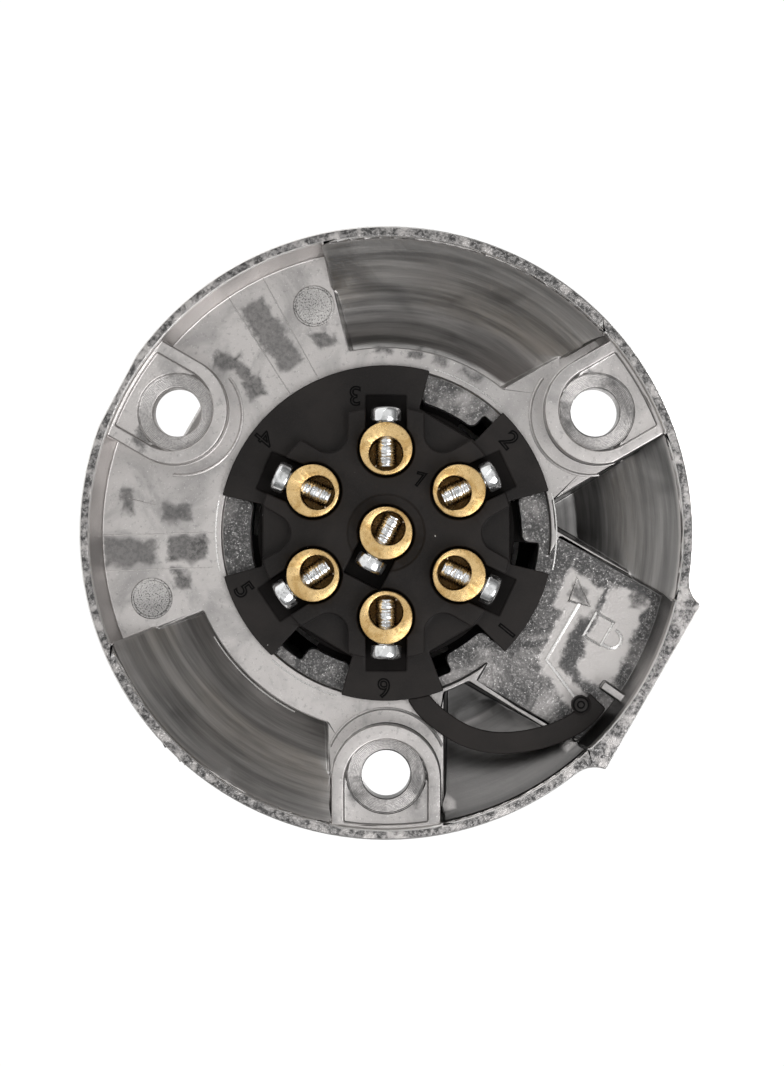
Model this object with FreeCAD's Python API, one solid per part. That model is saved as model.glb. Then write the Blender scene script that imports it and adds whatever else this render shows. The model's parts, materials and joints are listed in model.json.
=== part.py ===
# Seven-pole trailer socket in die-cast aluminium, with a sprung lid and a bayonet contact insert.
# Millimetres. The socket axis is Y: the lid faces -Y, the wiring side faces +Y, and +Z points to the
# lid's hinge. The origin is on the socket axis in the plane of the flange's rear rim, which seats on
# the vehicle's bracket. "Depth" is the distance forward of that plane, so depth = -y. "Clock" angles
# are degrees anticlockwise from the right-hand side, as seen from the wiring side: 90 is up, at the hinge.
import FreeCAD, Part
import math
import os
from FreeCAD import Vector

# ---- flange -------------------------------------------------------------------------------------
flange_radius = 41.0
flange_front = 9.4            # depth of the flange's flat front face
flange_edge_round = 2.4
plate_floor = 6.0             # depth of the flat floor inside the rim
rim_lip = 1.3                 # width of the lip that seats on the bracket
rim_draft = 1.4               # how far the rim's inner wall leans in by the plate floor
gate_clock = 272.0            # where the casting gate was trimmed off
gate_trim = 0.35              # how far that trim goes into the round flange

# ---- mounting holes -----------------------------------------------------------------------------
hole_count = 3
hole_spacing = 56.0           # side of the triangle between the holes
hole_radius = 3.25
hole_first_clock = 30.0
boss_half_width = 7.3
boss_wall = 1.65
boss_top = 0.8
boss_floor = 1.6
boss_end_shift = 0.6          # the boss's round end is centred this far outboard of its hole
spot_face_radius = 5.2
spot_face_depth = 0.2

# ---- hollows behind the flange ------------------------------------------------------------------
hollow_floor = 12.0
hollow_floor_radius = 26.0
hollow_lip_depth = 1.0
latch_hollow_lip_depth = 4.8  # the hollow under the latch arm starts deeper
hollow_draft = 1.0
dome_gap = 2.2                # wall between a hollow's cone and the dome over it, measured along the axis
hollow_side_wall = 1.6
hollow_rim_gap = 0.1          # between a hollow's outer edge and the inside of the rim's lip
hollow_near_barrel = 22.9
# each hollow: inner radius, lip depth, (clock, offset) of its first side, (clock, offset) of its last side
hollows = [
    (25.1, hollow_lip_depth, (150.0, 8.5), (222.5, 0.0)),
    (hollow_near_barrel, hollow_lip_depth, (90.0, 11.4), (150.0, -7.0)),
    (hollow_near_barrel, latch_hollow_lip_depth, (30.0, 7.4), (90.0, -11.4)),
    (26.8, hollow_lip_depth, (322.0, 0.0), (390.0, -7.4)),
]

# ---- barrel and bayonet collar ------------------------------------------------------------------
barrel_radius = 23.5
barrel_bore = 20.6
barrel_front = 36.0
barrel_bead = 0.5             # the barrel's front edge is this much fatter
barrel_bead_length = 2.0
counterbore_radius = 22.2
counterbore_floor = 7.0
lug_inner_radius = 18.2
lug_thickness = 2.4
lug_corner = 1.2
lug_spans = [(170.0, 196.0), (230.0, 256.0), (286.0, 320.0), (356.0, 376.0), (55.0, 75.0), (116.0, 136.0)]
keyway_width = 5.0
keyway_depth = 1.2

# ---- hinge bracket ------------------------------------------------------------------------------
bump_half_width = 12.7
bump_reach = 0.2              # how far the square shoulder stands out past the round flange
bump_blend = 2.6
hinge_plate_half_width = 11.3
hinge_height = 30.6           # z of the hinge axis
hinge_depth = 33.2            # depth of the hinge axis
knuckle_radius = 3.8
cheek_inner = 8.6             # the two cheeks run from here to bump_half_width
web_front = 27.5
web_flat = 6.5
pin_radius = 2.0
pin_head_radius = 3.1
pin_head_length = 1.0
pin_tail = 0.7
rib_clock = 85.0              # small stop that the latch arm's tip rests against
rib_inner_radius = 35.5
rib_width = 1.2
rib_top = 3.6

# ---- lid ----------------------------------------------------------------------------------------
lid_inner_gap = 0.75          # between the barrel's bead and the lid's skirt
lid_wall = 1.9
lid_skirt_back = 32.6
lid_thickness = 2.6
lid_crown = 1.3
lip_distance = 31.8           # lifting lip's straight edge, from the axis
lip_half_width = 10.0
lip_back = 35.0
lip_thickness = 2.4
ear_inner = 4.6
ear_side_gap = 0.35
ear_bore_clearance = 0.06
catch_height = -13.0          # z of the nose that holds a plug in
catch_half_width = 4.0
catch_thickness = 2.2
catch_reach = 1.6
gasket_inner_radius = 18.9
gasket_thickness = 1.4
gasket_gap = 0.08

# ---- lid spring ---------------------------------------------------------------------------------
spring_wire = 0.55            # wire radius
spring_pin_gap = 0.35         # between the pin and the coil round it
spring_turns = 5
spring_pitch = 1.45
spring_leg_gap = 0.05
spring_face_leg = 9.0         # how far in from the lid's edge the front leg reaches
spring_web_leg = 9.5

# ---- contact insert -----------------------------------------------------------------------------
contact_count = 6
contact_circle = 11.3
contact_first_clock = 90.0
core_radius = 17.3
carrier_radius = 15.6
carrier_back = 12.6
carrier_front = 33.0
insert_face = 3.0             # depth of the raised star that the contacts stand in
tab_face = 4.65
tab_radius = 22.6
tab_boss_gap = 1.2            # room between the tabs and the bosses behind them
seat_gap = 0.05
hub_flat = 16.7
hub_radius = 18.4
star_half_width = 5.1
star_radius = 16.9
star_blend = 2.6
centre_ring_radius = 5.2
centre_ring_step = 0.3
contact_well_gap = 0.32
contact_well_depth = 1.3
tab_spans = [(195.0, 287.0), (134.5, 166.0), (75.0, 106.0), (14.5, 50.0), (315.0, 347.0)]
insert_lug_centres = [125.0, 185.0, 243.0, 310.0, 367.5, 67.5]
insert_lug_half_span = 9.0
insert_lug_radius = 20.2
insert_lug_length = 2.4
lug_running_gap = 0.15

# ---- latch arm ----------------------------------------------------------------------------------
arm_thickness = 1.35
arm_width = 2.9
arm_root = (21.0, 40.5)       # (radius, clock) of the arm's centre line, root to tip
arm_bend = [(23.4, 42.0), (26.3, 46.2), (28.9, 50.6), (31.2, 55.7), (33.4, 62.6), (35.1, 69.2), (36.2, 74.9)]
arm_tip = (36.4, 81.6)
arm_nub_radius = 1.25
arm_nub_place = (34.9, 78.6)
arm_nub_top = 3.3

# ---- contacts and their screws ------------------------------------------------------------------
contact_back = 0.2
cup_radius = 3.55
cup_length = 8.8
wire_bore = 2.3
wire_bore_shift = 0.7
wire_bore_depth = 7.6
waist_radius = 2.55
waist_length = 3.2
sleeve_radius = 3.05
sleeve_front = 32.4
pin_bore = 2.5
pin_bore_depth = 13.0
sleeve_slit = 0.7
sleeve_slit_length = 10.0
contact_fit = 0.03
screw_depth = 2.5             # depth of the screws' axes
screw_radius = 1.45
screw_hole_clearance = 0.05
screw_head_radius = 2.1
screw_head_length = 2.0
screw_head_gap = 0.12
screw_slot_width = 0.7
screw_slot_depth = 0.8
screw_travel = 1.5
screw_tip_gap = 0.65
notch_half_width = 2.75
# clock angle that each contact's screw points out along, contact_1 to contact_7
screw_clocks = [95.0, 145.0, 210.0, 277.0, 334.0, 30.0, 3.0]

# ---- worked-out sizes ---------------------------------------------------------------------------
hole_circle = hole_spacing / math.sqrt(3.0)
rim_inner_radius = flange_radius - rim_lip
hollow_outer_radius = rim_inner_radius - hollow_rim_gap
bump_distance = flange_radius + bump_reach
spring_turn_radius = pin_radius + spring_pin_gap + spring_wire
plate_radius = rim_inner_radius - rim_draft
tab_back = plate_floor - seat_gap
insert_lug_back = counterbore_floor + lug_thickness + lug_running_gap
lid_seat = barrel_front + gasket_gap + gasket_thickness
skirt_inner = barrel_radius + barrel_bead + lid_inner_gap
skirt_outer = skirt_inner + lid_wall
ear_outer = cheek_inner - ear_side_gap
web_top = hinge_height - spring_turn_radius - spring_wire - spring_leg_gap
axis_forward = Vector(0, -1, 0)


# ---- helpers ------------------------------------------------------------------------------------
def flat(u, v):
    """A point of the rear view (u to the right, v up) in the plane of the rim."""
    return Vector(-u, 0, v)


def polar(radius, clock):
    """A point at a radius and clock angle, in the plane of the rim."""
    angle = math.radians(clock)
    return flat(radius * math.cos(angle), radius * math.sin(angle))


def beside(clock, along, across):
    """A point some way out along a clock angle and then square to it, anticlockwise."""
    angle = math.radians(clock)
    out = flat(math.cos(angle), math.sin(angle)) * along
    side = flat(-math.sin(angle), math.cos(angle)) * across
    return out + side


def side_corner(side, radius, shift=0.0):
    """Where a side line (clock, offset) reaches a radius, with the line moved by shift."""
    clock, offset = side
    across = offset + shift
    return beside(clock, math.sqrt(radius ** 2 - across ** 2), across)


def clock_of(point):
    """The clock angle of a point of the rear view."""
    return math.degrees(math.atan2(point.z, -point.x)) % 360.0


def arc_between(start, end, radius):
    """An arc about the axis, anticlockwise from start to end."""
    first = clock_of(start)
    span = (clock_of(end) - first) % 360.0
    return Part.Arc(start, polar(radius, first + span / 2.0), end).toShape()


def extrude(wire, top, bottom):
    """A prism on a closed wire of the rim plane, from one depth to another."""
    face = Part.Face(wire)
    face.translate(axis_forward * top)
    return face.extrude(axis_forward * (bottom - top))


def prism(points, top, bottom):
    """A prism on a polygon of the rim plane."""
    return extrude(Part.makePolygon(points + points[:1]), top, bottom)


def rod(radius, top, bottom, place=Vector(0, 0, 0)):
    """A cylinder along the socket axis, from one depth to another."""
    return Part.makeCylinder(radius, bottom - top, place + axis_forward * top, axis_forward)


def revolve(profile):
    """A solid of revolution about the socket axis from (radius, depth) points."""
    points = [Vector(radius, -depth, 0) for radius, depth in profile]
    face = Part.Face(Part.makePolygon(points + points[:1]))
    return face.revolve(Vector(0, 0, 0), Vector(0, 1, 0), 360)


def sector(inner, outer, start, end, top, bottom):
    """A ring sector between two clock angles."""
    corners = [polar(inner, start), polar(outer, start), polar(outer, end), polar(inner, end)]
    edges = [
        Part.makeLine(corners[0], corners[1]),
        arc_between(corners[1], corners[2], outer),
        Part.makeLine(corners[2], corners[3]),
        arc_between(corners[0], corners[3], inner),
    ]
    return extrude(Part.Wire(Part.__sortEdges__(edges)), top, bottom)


def bar(clock, half_width, start, end, top, bottom):
    """A radial bar of even width."""
    points = [
        beside(clock, start, -half_width),
        beside(clock, end, -half_width),
        beside(clock, end, half_width),
        beside(clock, start, half_width),
    ]
    return prism(points, top, bottom)


def across_x(points, start, end):
    """A prism along X on a polygon of (height, depth) points."""
    corners = [Vector(start, -depth, height) for height, depth in points]
    face = Part.Face(Part.makePolygon(corners + corners[:1]))
    return face.extrude(Vector(end - start, 0, 0))


def rod_x(radius, height, depth, start, end):
    """A cylinder along X."""
    return Part.makeCylinder(radius, end - start, Vector(start, -depth, height), Vector(1, 0, 0))


def fuse(shapes):
    """One clean solid from several that overlap."""
    whole = shapes[0].fuse(shapes[1:]) if len(shapes) > 1 else shapes[0]
    return whole.removeSplitter()


def save(node, shape):
    """Write a node's solids."""
    solids = shape.Solids
    whole = solids[0] if len(solids) == 1 else Part.makeCompound(solids)
    whole.exportStep("parts/" + node + ".step")
    print(node, len(solids), round(whole.Volume, 1), whole.isValid())


# ---- housing ------------------------------------------------------------------------------------
def hollow_outline(inner, outer, first, last, inset, depth):
    """The closed outline of a hollow, drawn in by inset along its two sides."""
    corners = [
        side_corner(first, inner, inset),
        side_corner(first, outer, inset),
        side_corner(last, outer, -inset),
        side_corner(last, inner, -inset),
    ]
    edges = [
        Part.makeLine(corners[0], corners[1]),
        arc_between(corners[1], corners[2], outer),
        Part.makeLine(corners[2], corners[3]),
        arc_between(corners[0], corners[3], inner),
    ]
    wire = Part.Wire(Part.__sortEdges__(edges))
    wire.translate(axis_forward * depth)
    return wire


def domes():
    """The four domed sectors of the flange's front, one over each hollow."""
    outside = revolve([
        (0, 0),
        (flange_radius, 0),
        (flange_radius, hollow_lip_depth + dome_gap),
        (hollow_floor_radius + 1.2, hollow_floor + dome_gap),
        (0, hollow_floor + dome_gap),
    ])
    sectors = []
    for inner, lip_depth, first, last in hollows:
        outline = hollow_outline(barrel_bore + 1.0, flange_radius + 1.0, first, last, -hollow_side_wall, 0)
        sectors.append(extrude(outline, 0, barrel_front).common(outside))
    return sectors


def hollow_slopes_and_cuts():
    """The outer slopes of the four hollows, which rise from the plate floor to the rim, and the hollows
    themselves, open at the back, with leaning side walls."""
    slopes = []
    cuts = []
    for inner, lip_depth, first, last in hollows:
        inside = revolve([(0, -1.0), (hollow_outer_radius, -1.0), (hollow_outer_radius, lip_depth),
                          (hollow_floor_radius, hollow_floor), (0, hollow_floor)])
        foot = hollow_outline(hollow_floor_radius + 3.0, rim_inner_radius + rim_lip / 2.0, first, last, 0, 0)
        slopes.append(extrude(foot, 0, plate_floor + 0.5).cut(inside))
        wide = hollow_outline(inner, hollow_outer_radius, first, last, 0, 0)
        narrow = hollow_outline(inner, hollow_outer_radius, first, last, hollow_draft, hollow_floor + 1.0)
        cuts.append(Part.makeLoft([wide, narrow], True, True).common(inside))
    return slopes, cuts


def arch(clock, centre, half_width, end, top, bottom):
    """A bar with a round inner end, open towards the rim."""
    round_end = rod(half_width, top, bottom, polar(centre, clock))
    return bar(clock, half_width, centre, end, top, bottom).fuse(round_end)


def bosses_and_holes():
    """The raised arches around the mounting holes, and what is cut out of them."""
    adds = []
    cuts = []
    inside_rim = rod(rim_inner_radius + rim_lip / 2.0, 0, flange_front)
    for number in range(hole_count):
        clock = hole_first_clock + number * 360.0 / hole_count
        centre = hole_circle + boss_end_shift
        boss = arch(clock, centre, boss_half_width, flange_radius, boss_top, flange_front)
        adds.append(boss.common(inside_rim))
        inner = boss_half_width - boss_wall
        recess = arch(clock, centre + boss_end_shift / 2.0, inner, flange_radius, boss_top - 1.0, boss_floor)
        cuts.append(recess.common(rod(rim_inner_radius - rim_lip / 2.0, boss_top - 1.0, boss_floor)))
        place = polar(hole_circle, clock)
        cuts.append(rod(spot_face_radius, boss_floor - 0.5, boss_floor + spot_face_depth, place))
        cuts.append(rod(hole_radius, -1.0, flange_front + 1.0, place))
    return adds, cuts


def bump():
    """The square shoulder of the rim under the hinge bracket, blended into the round flange."""
    join = bump_half_width + bump_blend
    low = math.sqrt(flange_radius ** 2 - join ** 2)
    middle = (bump_half_width + bump_blend * 0.3, low + (bump_distance - low) * 0.42)
    corners = [Vector(bump_half_width, 0, bump_distance), Vector(join, 0, low)]
    mirrored = [Vector(-corner.x, 0, corner.z) for corner in corners]
    edges = [
        Part.makeLine(mirrored[0], corners[0]),
        Part.Arc(corners[0], Vector(middle[0], 0, middle[1]), corners[1]).toShape(),
        Part.makeLine(corners[1], Vector(0, 0, barrel_radius)),
        Part.makeLine(Vector(0, 0, barrel_radius), mirrored[1]),
        Part.Arc(mirrored[1], Vector(-middle[0], 0, middle[1]), mirrored[0]).toShape(),
    ]
    return extrude(Part.Wire(edges), 0, flange_front)


def hinge_bracket():
    """The two cheeks that carry the hinge pin, and the web between them."""
    cheek = [
        (barrel_radius - 2.5, flange_front - 1.0),
        (bump_distance, flange_front - 1.0),
        (bump_distance, flange_front + 3.0),
        (hinge_height + knuckle_radius * 0.92, hinge_depth - knuckle_radius * 0.4),
        (hinge_height, hinge_depth),
        (barrel_radius - 2.5, hinge_depth - 3.0),
    ]
    pieces = [across_x([
        (barrel_radius - 2.5, flange_front - 1.0),
        (bump_distance - 2.0, flange_front - 1.0),
        (web_top, web_front - web_flat),
        (web_top, web_front - 1.0),
        (web_top - 1.0, web_front),
        (barrel_radius - 2.5, web_front),
    ], -cheek_inner - 0.5, cheek_inner + 0.5)]
    for side in (-1, 1):
        ends = sorted((side * cheek_inner, side * bump_half_width))
        pieces.append(across_x(cheek, ends[0], ends[1]))
        pieces.append(rod_x(knuckle_radius, hinge_height, hinge_depth, ends[0], ends[1]))
    return pieces


def collar_lugs():
    """The collar's inward bayonet lugs."""
    lugs = []
    for start, end in lug_spans:
        lug = sector(lug_inner_radius, barrel_bore + 1.0, start, end,
                     counterbore_floor, counterbore_floor + lug_thickness)
        corners = [edge for edge in lug.Edges
                   if abs(edge.Vertexes[0].Point.x - edge.Vertexes[-1].Point.x) < 1e-6
                   and abs(edge.Vertexes[0].Point.z - edge.Vertexes[-1].Point.z) < 1e-6
                   and math.hypot(edge.Vertexes[0].Point.x, edge.Vertexes[0].Point.z) < barrel_bore]
        lugs.append(lug.makeFillet(lug_corner, corners))
    return lugs


def make_housing():
    """The die-cast housing: flange, rim, domes, barrel, collar and hinge bracket."""
    disc = rod(flange_radius, 0, flange_front)
    front_edge = [edge for edge in disc.Edges if abs(edge.BoundBox.YMax + flange_front) < 1e-6
                  and edge.BoundBox.YLength < 1e-6]
    disc = disc.makeFillet(flange_edge_round, front_edge)
    barrel = rod(barrel_radius, flange_front - 2.0, barrel_front)
    bead = rod(barrel_radius + barrel_bead, barrel_front - barrel_bead_length, barrel_front)
    gate = bar(gate_clock, flange_radius, flange_radius - gate_trim, flange_radius + 2.0, -1.0, flange_front + 1.0)
    shell = fuse([disc, bump(), barrel, bead] + domes() + hinge_bracket()).cut(gate)
    rim_cut = revolve([(0, -1.0), (rim_inner_radius, -1.0), (rim_inner_radius, 0),
                       (plate_radius, plate_floor), (0, plate_floor)])
    hinge_floor = bar(90.0, hinge_plate_half_width, barrel_bore, flange_radius, plate_floor - 0.5,
                      counterbore_floor).common(rod(plate_radius, 0, flange_front))
    bosses, hole_cuts = bosses_and_holes()
    slopes, hollow_cuts = hollow_slopes_and_cuts()
    shell = shell.cut([rim_cut, hinge_floor])
    shell = shell.fuse(bosses + slopes)
    bore = rod(barrel_bore, -1.0, barrel_front + 1.0)
    counterbore = rod(counterbore_radius, -1.0, counterbore_floor)
    keyway = bar(270.0, keyway_width / 2.0, barrel_bore - 2.0, barrel_bore + keyway_depth,
                 carrier_back, barrel_front + 1.0)
    pin_hole = rod_x(pin_radius, hinge_height, hinge_depth, -bump_half_width - 1.0,
                     bump_half_width + 1.0)
    shell = shell.cut([bore, counterbore, keyway, pin_hole] + hollow_cuts + hole_cuts)
    rib = bar(rib_clock, rib_width / 2.0, rib_inner_radius, rim_inner_radius - rim_draft / 4.0,
              rib_top, counterbore_floor + 0.5)
    return fuse([shell, rib] + collar_lugs())


# ---- lid, gasket, pin and spring ----------------------------------------------------------------
def make_lid():
    """The lid: a skirted cap with a lifting lip, two hinge ears and a nose that holds the plug."""
    cap = revolve([
        (0, lid_seat),
        (skirt_inner, lid_seat),
        (skirt_inner, lid_skirt_back),
        (skirt_outer, lid_skirt_back),
        (skirt_outer, lid_seat + lid_thickness - 1.0),
        (skirt_outer - 1.2, lid_seat + lid_thickness),
        (skirt_outer - 5.0, lid_seat + lid_thickness + lid_crown * 0.7),
        (0, lid_seat + lid_thickness + lid_crown),
    ])
    lip = across_x([
        (-skirt_inner + 0.3, lip_back),
        (-lip_distance, lip_back - 1.2),
        (-lip_distance, lip_back - 1.2 + lip_thickness),
        (-skirt_inner + 0.3, lid_seat + lid_thickness - 1.0),
    ], -lip_half_width, lip_half_width)
    lip = lip.makeFillet(2.0, [edge for edge in lip.Edges
                               if edge.BoundBox.XLength < 1e-6 and edge.BoundBox.ZLength < 1e-6
                               and edge.BoundBox.ZMax < -lip_distance + 1e-3])
    ears = []
    for side in (-1, 1):
        ends = sorted((side * ear_inner, side * ear_outer))
        ears.append(rod_x(knuckle_radius, hinge_height, hinge_depth, ends[0], ends[1]))
        ears.append(across_x([
            (skirt_inner - 2.0, lid_seat + 0.1),
            (hinge_height - knuckle_radius * 0.8, hinge_depth - knuckle_radius * 0.4),
            (hinge_height + knuckle_radius * 0.8, hinge_depth + knuckle_radius * 0.6),
            (skirt_inner - 2.0, lid_seat + lid_thickness),
        ], ends[0], ends[1]))
    spring_room = across_x([
        (skirt_inner + 0.35, lid_skirt_back - 1.0),
        (hinge_height + 9.0, lid_skirt_back - 1.0),
        (hinge_height + 9.0, lid_seat + 8.0),
        (skirt_inner + 0.35, lid_seat + 8.0),
    ], -ear_inner, ear_inner)
    nose = across_x([
        (catch_height, lid_seat - catch_reach - gasket_thickness),
        (catch_height + catch_thickness, lid_seat - catch_reach - gasket_thickness + 0.8),
        (catch_height + catch_thickness, lid_seat + 1.0),
        (catch_height, lid_seat + 1.0),
    ], -catch_half_width, catch_half_width)
    bore = rod_x(pin_radius + ear_bore_clearance, hinge_height, hinge_depth, -bump_half_width, bump_half_width)
    inside = rod(skirt_inner, lid_skirt_back - 1.0, lid_seat)
    return fuse([fuse([cap, lip] + ears).cut([spring_room, bore, inside]), nose])


def make_lid_gasket():
    """The flat rubber ring inside the lid, which the barrel's front edge presses."""
    outer = rod(skirt_inner - gasket_gap, lid_seat - gasket_thickness, lid_seat)
    return outer.cut(rod(gasket_inner_radius, lid_seat - gasket_thickness, lid_seat))


def make_hinge_pin():
    """The headed pin through both cheeks and both ears, peened at its tail."""
    shank = rod_x(pin_radius, hinge_height, hinge_depth, -bump_half_width - pin_tail, bump_half_width)
    head = rod_x(pin_head_radius, hinge_height, hinge_depth, bump_half_width, bump_half_width + pin_head_length)
    round_edge = [edge for edge in head.Edges
                  if edge.BoundBox.XLength < 1e-6 and edge.BoundBox.XMin > bump_half_width + 0.5]
    return fuse([shank, head.makeFillet(0.6, round_edge)])


def half_turn(start, rising):
    """Half a turn of spring wire in a slightly tilted plane, from the bottom up or from the top down."""
    wire_end = Part.Face(Part.Wire([Part.makeCircle(spring_wire, start, Vector(0, 1, 0))]))
    centre = start + Vector(spring_pitch / 4.0, 0, rising * spring_turn_radius)
    tilt = Vector(2.0 * spring_turn_radius, 0, -rising * spring_pitch / 2.0)
    return wire_end.revolve(centre, tilt, 180)


def make_lid_spring():
    """The torsion spring round the pin: one leg on the lid's face, one on the bracket's web."""
    length = spring_turns * spring_pitch
    bottom = hinge_height - spring_turn_radius
    face_end = Vector(-length / 2.0, -hinge_depth, bottom)
    web_end = Vector(length / 2.0, -hinge_depth, bottom)
    pieces = []
    for half in range(2 * spring_turns):
        rising = 1 if half % 2 == 0 else -1
        height = bottom if rising == 1 else bottom + 2.0 * spring_turn_radius
        start = Vector(face_end.x + half * spring_pitch / 2.0, -hinge_depth, height)
        pieces.append(half_turn(start, rising))
    face_depth = lid_seat + lid_thickness + lid_crown + spring_wire + spring_leg_gap
    bend = Vector(face_end.x, -face_depth, bottom)
    pieces += [
        Part.makeCylinder(spring_wire, face_depth - hinge_depth, face_end, Vector(0, -1, 0)),
        Part.makeSphere(spring_wire, bend),
        Part.makeCylinder(spring_wire, bottom - skirt_outer + spring_face_leg, bend, Vector(0, 0, -1)),
        Part.makeCylinder(spring_wire, spring_web_leg, web_end, Vector(0, 1, 0)),
    ]
    return fuse(pieces)


# ---- contacts and screws ------------------------------------------------------------------------
def contact_centre(number):
    """The centre of contact 1 to 7 in the rim plane."""
    if number == contact_count + 1:
        return Vector(0, 0, 0)
    return polar(contact_circle, contact_first_clock + (number - 1) * 360.0 / contact_count)


def screw_direction(number):
    """The direction in which a contact's screw points out."""
    return polar(1.0, screw_clocks[number - 1])


def radial_rod(number, radius, start, end):
    """A cylinder along a contact's screw axis, measured from the contact's own centre."""
    way = screw_direction(number)
    base = contact_centre(number) + axis_forward * screw_depth + way * start
    return Part.makeCylinder(radius, end - start, base, way)


def make_contact(number):
    """A turned brass contact: a cup for the wire behind, a slit sleeve for the plug's pin in front."""
    centre = contact_centre(number)
    cup_front = contact_back + cup_length
    waist_front = cup_front + waist_length
    body = fuse([
        rod(cup_radius, contact_back, cup_front, centre),
        rod(waist_radius, cup_front, waist_front, centre),
        rod(sleeve_radius, waist_front, sleeve_front, centre),
    ])
    away = centre - screw_direction(number) * wire_bore_shift
    wire_hole = rod(wire_bore, contact_back - 1.0, contact_back + wire_bore_depth, away)
    pin_hole = rod(pin_bore, sleeve_front - pin_bore_depth, sleeve_front + 1.0, centre)
    slit = Part.makeBox(2.0 * sleeve_radius + 1.0, sleeve_slit_length + 1.0, sleeve_slit,
                        centre + Vector(-sleeve_radius - 0.5, -sleeve_front - 1.0, -sleeve_slit / 2.0))
    screw_hole = radial_rod(number, screw_radius + screw_hole_clearance, -wire_bore_shift, cup_radius + 1.0)
    return body.cut([wire_hole, pin_hole, slit, screw_hole]).removeSplitter()


def make_screw(number):
    """A slotted clamp screw, tightened across the contact's wire bore."""
    head_start = cup_radius + screw_head_gap
    tip = -wire_bore - wire_bore_shift + screw_tip_gap
    head = radial_rod(number, screw_head_radius, head_start, head_start + screw_head_length)
    way = screw_direction(number)
    slot_start = head_start + screw_head_length - screw_slot_depth
    side = way.cross(axis_forward)
    base = contact_centre(number) + axis_forward * screw_depth + way * slot_start
    corners = [base + side * (screw_head_radius + 1.0) * a + axis_forward * (screw_slot_width / 2.0) * b
               for a, b in ((-1, -1), (1, -1), (1, 1), (-1, 1))]
    slot = Part.Face(Part.makePolygon(corners + corners[:1])).extrude(way * (screw_slot_depth + 1.0))
    return fuse([radial_rod(number, screw_radius, tip, head_start + 0.1), head.cut(slot)])


# ---- contact insert and latch arm ---------------------------------------------------------------
def star():
    """The raised star round the contacts: one radial lobe for each, with blended corners between."""
    lobes = [bar(contact_first_clock + place * 60.0, star_half_width, 0, star_radius + 2.0, insert_face, tab_back)
             for place in range(contact_count)]
    whole = fuse(lobes)
    inner_radius = star_half_width / math.sin(math.radians(30.0))
    corners = [edge for edge in whole.Edges
               if edge.BoundBox.XLength < 1e-6 and edge.BoundBox.ZLength < 1e-6
               and math.hypot(edge.BoundBox.XMin, edge.BoundBox.ZMin) < inner_radius + 0.5]
    whole = whole.makeFillet(star_blend, corners)
    return whole.common(rod(star_radius, insert_face, tab_back))


def make_contact_insert():
    """The moulded insert: core, front carrier, label tabs, raised star and bayonet lugs."""
    hexagon = [polar(hub_flat / math.cos(math.radians(30.0)), 30.0 + 60.0 * place) for place in range(6)]
    hub = prism(hexagon, tab_face, tab_back).common(rod(hub_radius, tab_face, tab_back))
    pieces = [
        rod(core_radius, tab_back, carrier_back),
        rod(carrier_radius, carrier_back - 1.0, carrier_front),
        hub,
        star(),
    ]
    for start, end in tab_spans:
        pieces.append(sector(hub_flat - 1.5, tab_radius, start, end, tab_face, tab_back))
    for centre in insert_lug_centres:
        pieces.append(sector(core_radius - 1.0, insert_lug_radius, centre - insert_lug_half_span,
                             centre + insert_lug_half_span, insert_lug_back, insert_lug_back + insert_lug_length))
    body = fuse(pieces)
    cuts = [rod(centre_ring_radius, insert_face - 1.0, insert_face + centre_ring_step)]
    for place in range(hole_count):
        cuts.append(arch(hole_first_clock + place * 360.0 / hole_count, hole_circle + boss_end_shift,
                         boss_half_width + tab_boss_gap, flange_radius, tab_face - 1.0, tab_back))
    for number in range(1, contact_count + 2):
        cuts += contact_room(number)
    return body.cut(cuts).removeSplitter()


def contact_room(number):
    """What one contact and its screw need cut out of the insert."""
    centre = contact_centre(number)
    cup_front = contact_back + cup_length + contact_fit
    waist_front = contact_back + cup_length + waist_length - contact_fit
    reach = cup_radius + screw_head_gap + screw_head_length
    slot_end = reach + screw_travel + screw_head_gap
    notch_floor = screw_depth + screw_head_radius + 0.25
    way = screw_clocks[number - 1]
    corners = [beside(way, along, across) + centre for along, across in (
        (0, -notch_half_width), (slot_end, -notch_half_width),
        (slot_end, notch_half_width), (0, notch_half_width))]
    return [
        rod(cup_radius + contact_fit, insert_face - 1.0, cup_front, centre),
        rod(cup_radius + contact_well_gap, insert_face - 1.0, insert_face + contact_well_depth, centre),
        rod(waist_radius + contact_fit, cup_front - 0.5, waist_front + 0.5, centre),
        rod(sleeve_radius + contact_fit, waist_front, carrier_front + 1.0, centre),
        prism(corners, insert_face - 1.0, notch_floor),
    ]


def make_latch_arm():
    """The springy arm moulded onto the insert, with a finger nub near its tip."""
    places = [arm_root] + arm_bend + [arm_tip]
    centre_line = [polar(radius, clock) for radius, clock in places]
    normals = []
    for index, point in enumerate(centre_line):
        before = centre_line[max(index - 1, 0)]
        after = centre_line[min(index + 1, len(centre_line) - 1)]
        normals.append((after - before).normalize().cross(axis_forward))
    sides = []
    for sign in (-1, 1):
        points = [point + normal * (sign * arm_width / 2.0) for point, normal in zip(centre_line, normals)]
        curve = Part.BSplineCurve()
        curve.interpolate(points)
        sides.append((points, curve.toShape()))
    left, right = sides
    wire = Part.Wire(Part.__sortEdges__([
        left[1], Part.makeLine(left[0][-1], right[0][-1]), right[1], Part.makeLine(right[0][0], left[0][0])]))
    arm = extrude(wire, tab_back - arm_thickness, tab_back)
    arm = arm.cut(rod(tab_radius, 0, flange_front))
    nub_place = polar(arm_nub_place[0], arm_nub_place[1])
    nub = rod(arm_nub_radius, arm_nub_top, tab_back, nub_place)
    return fuse([arm, nub])


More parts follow.
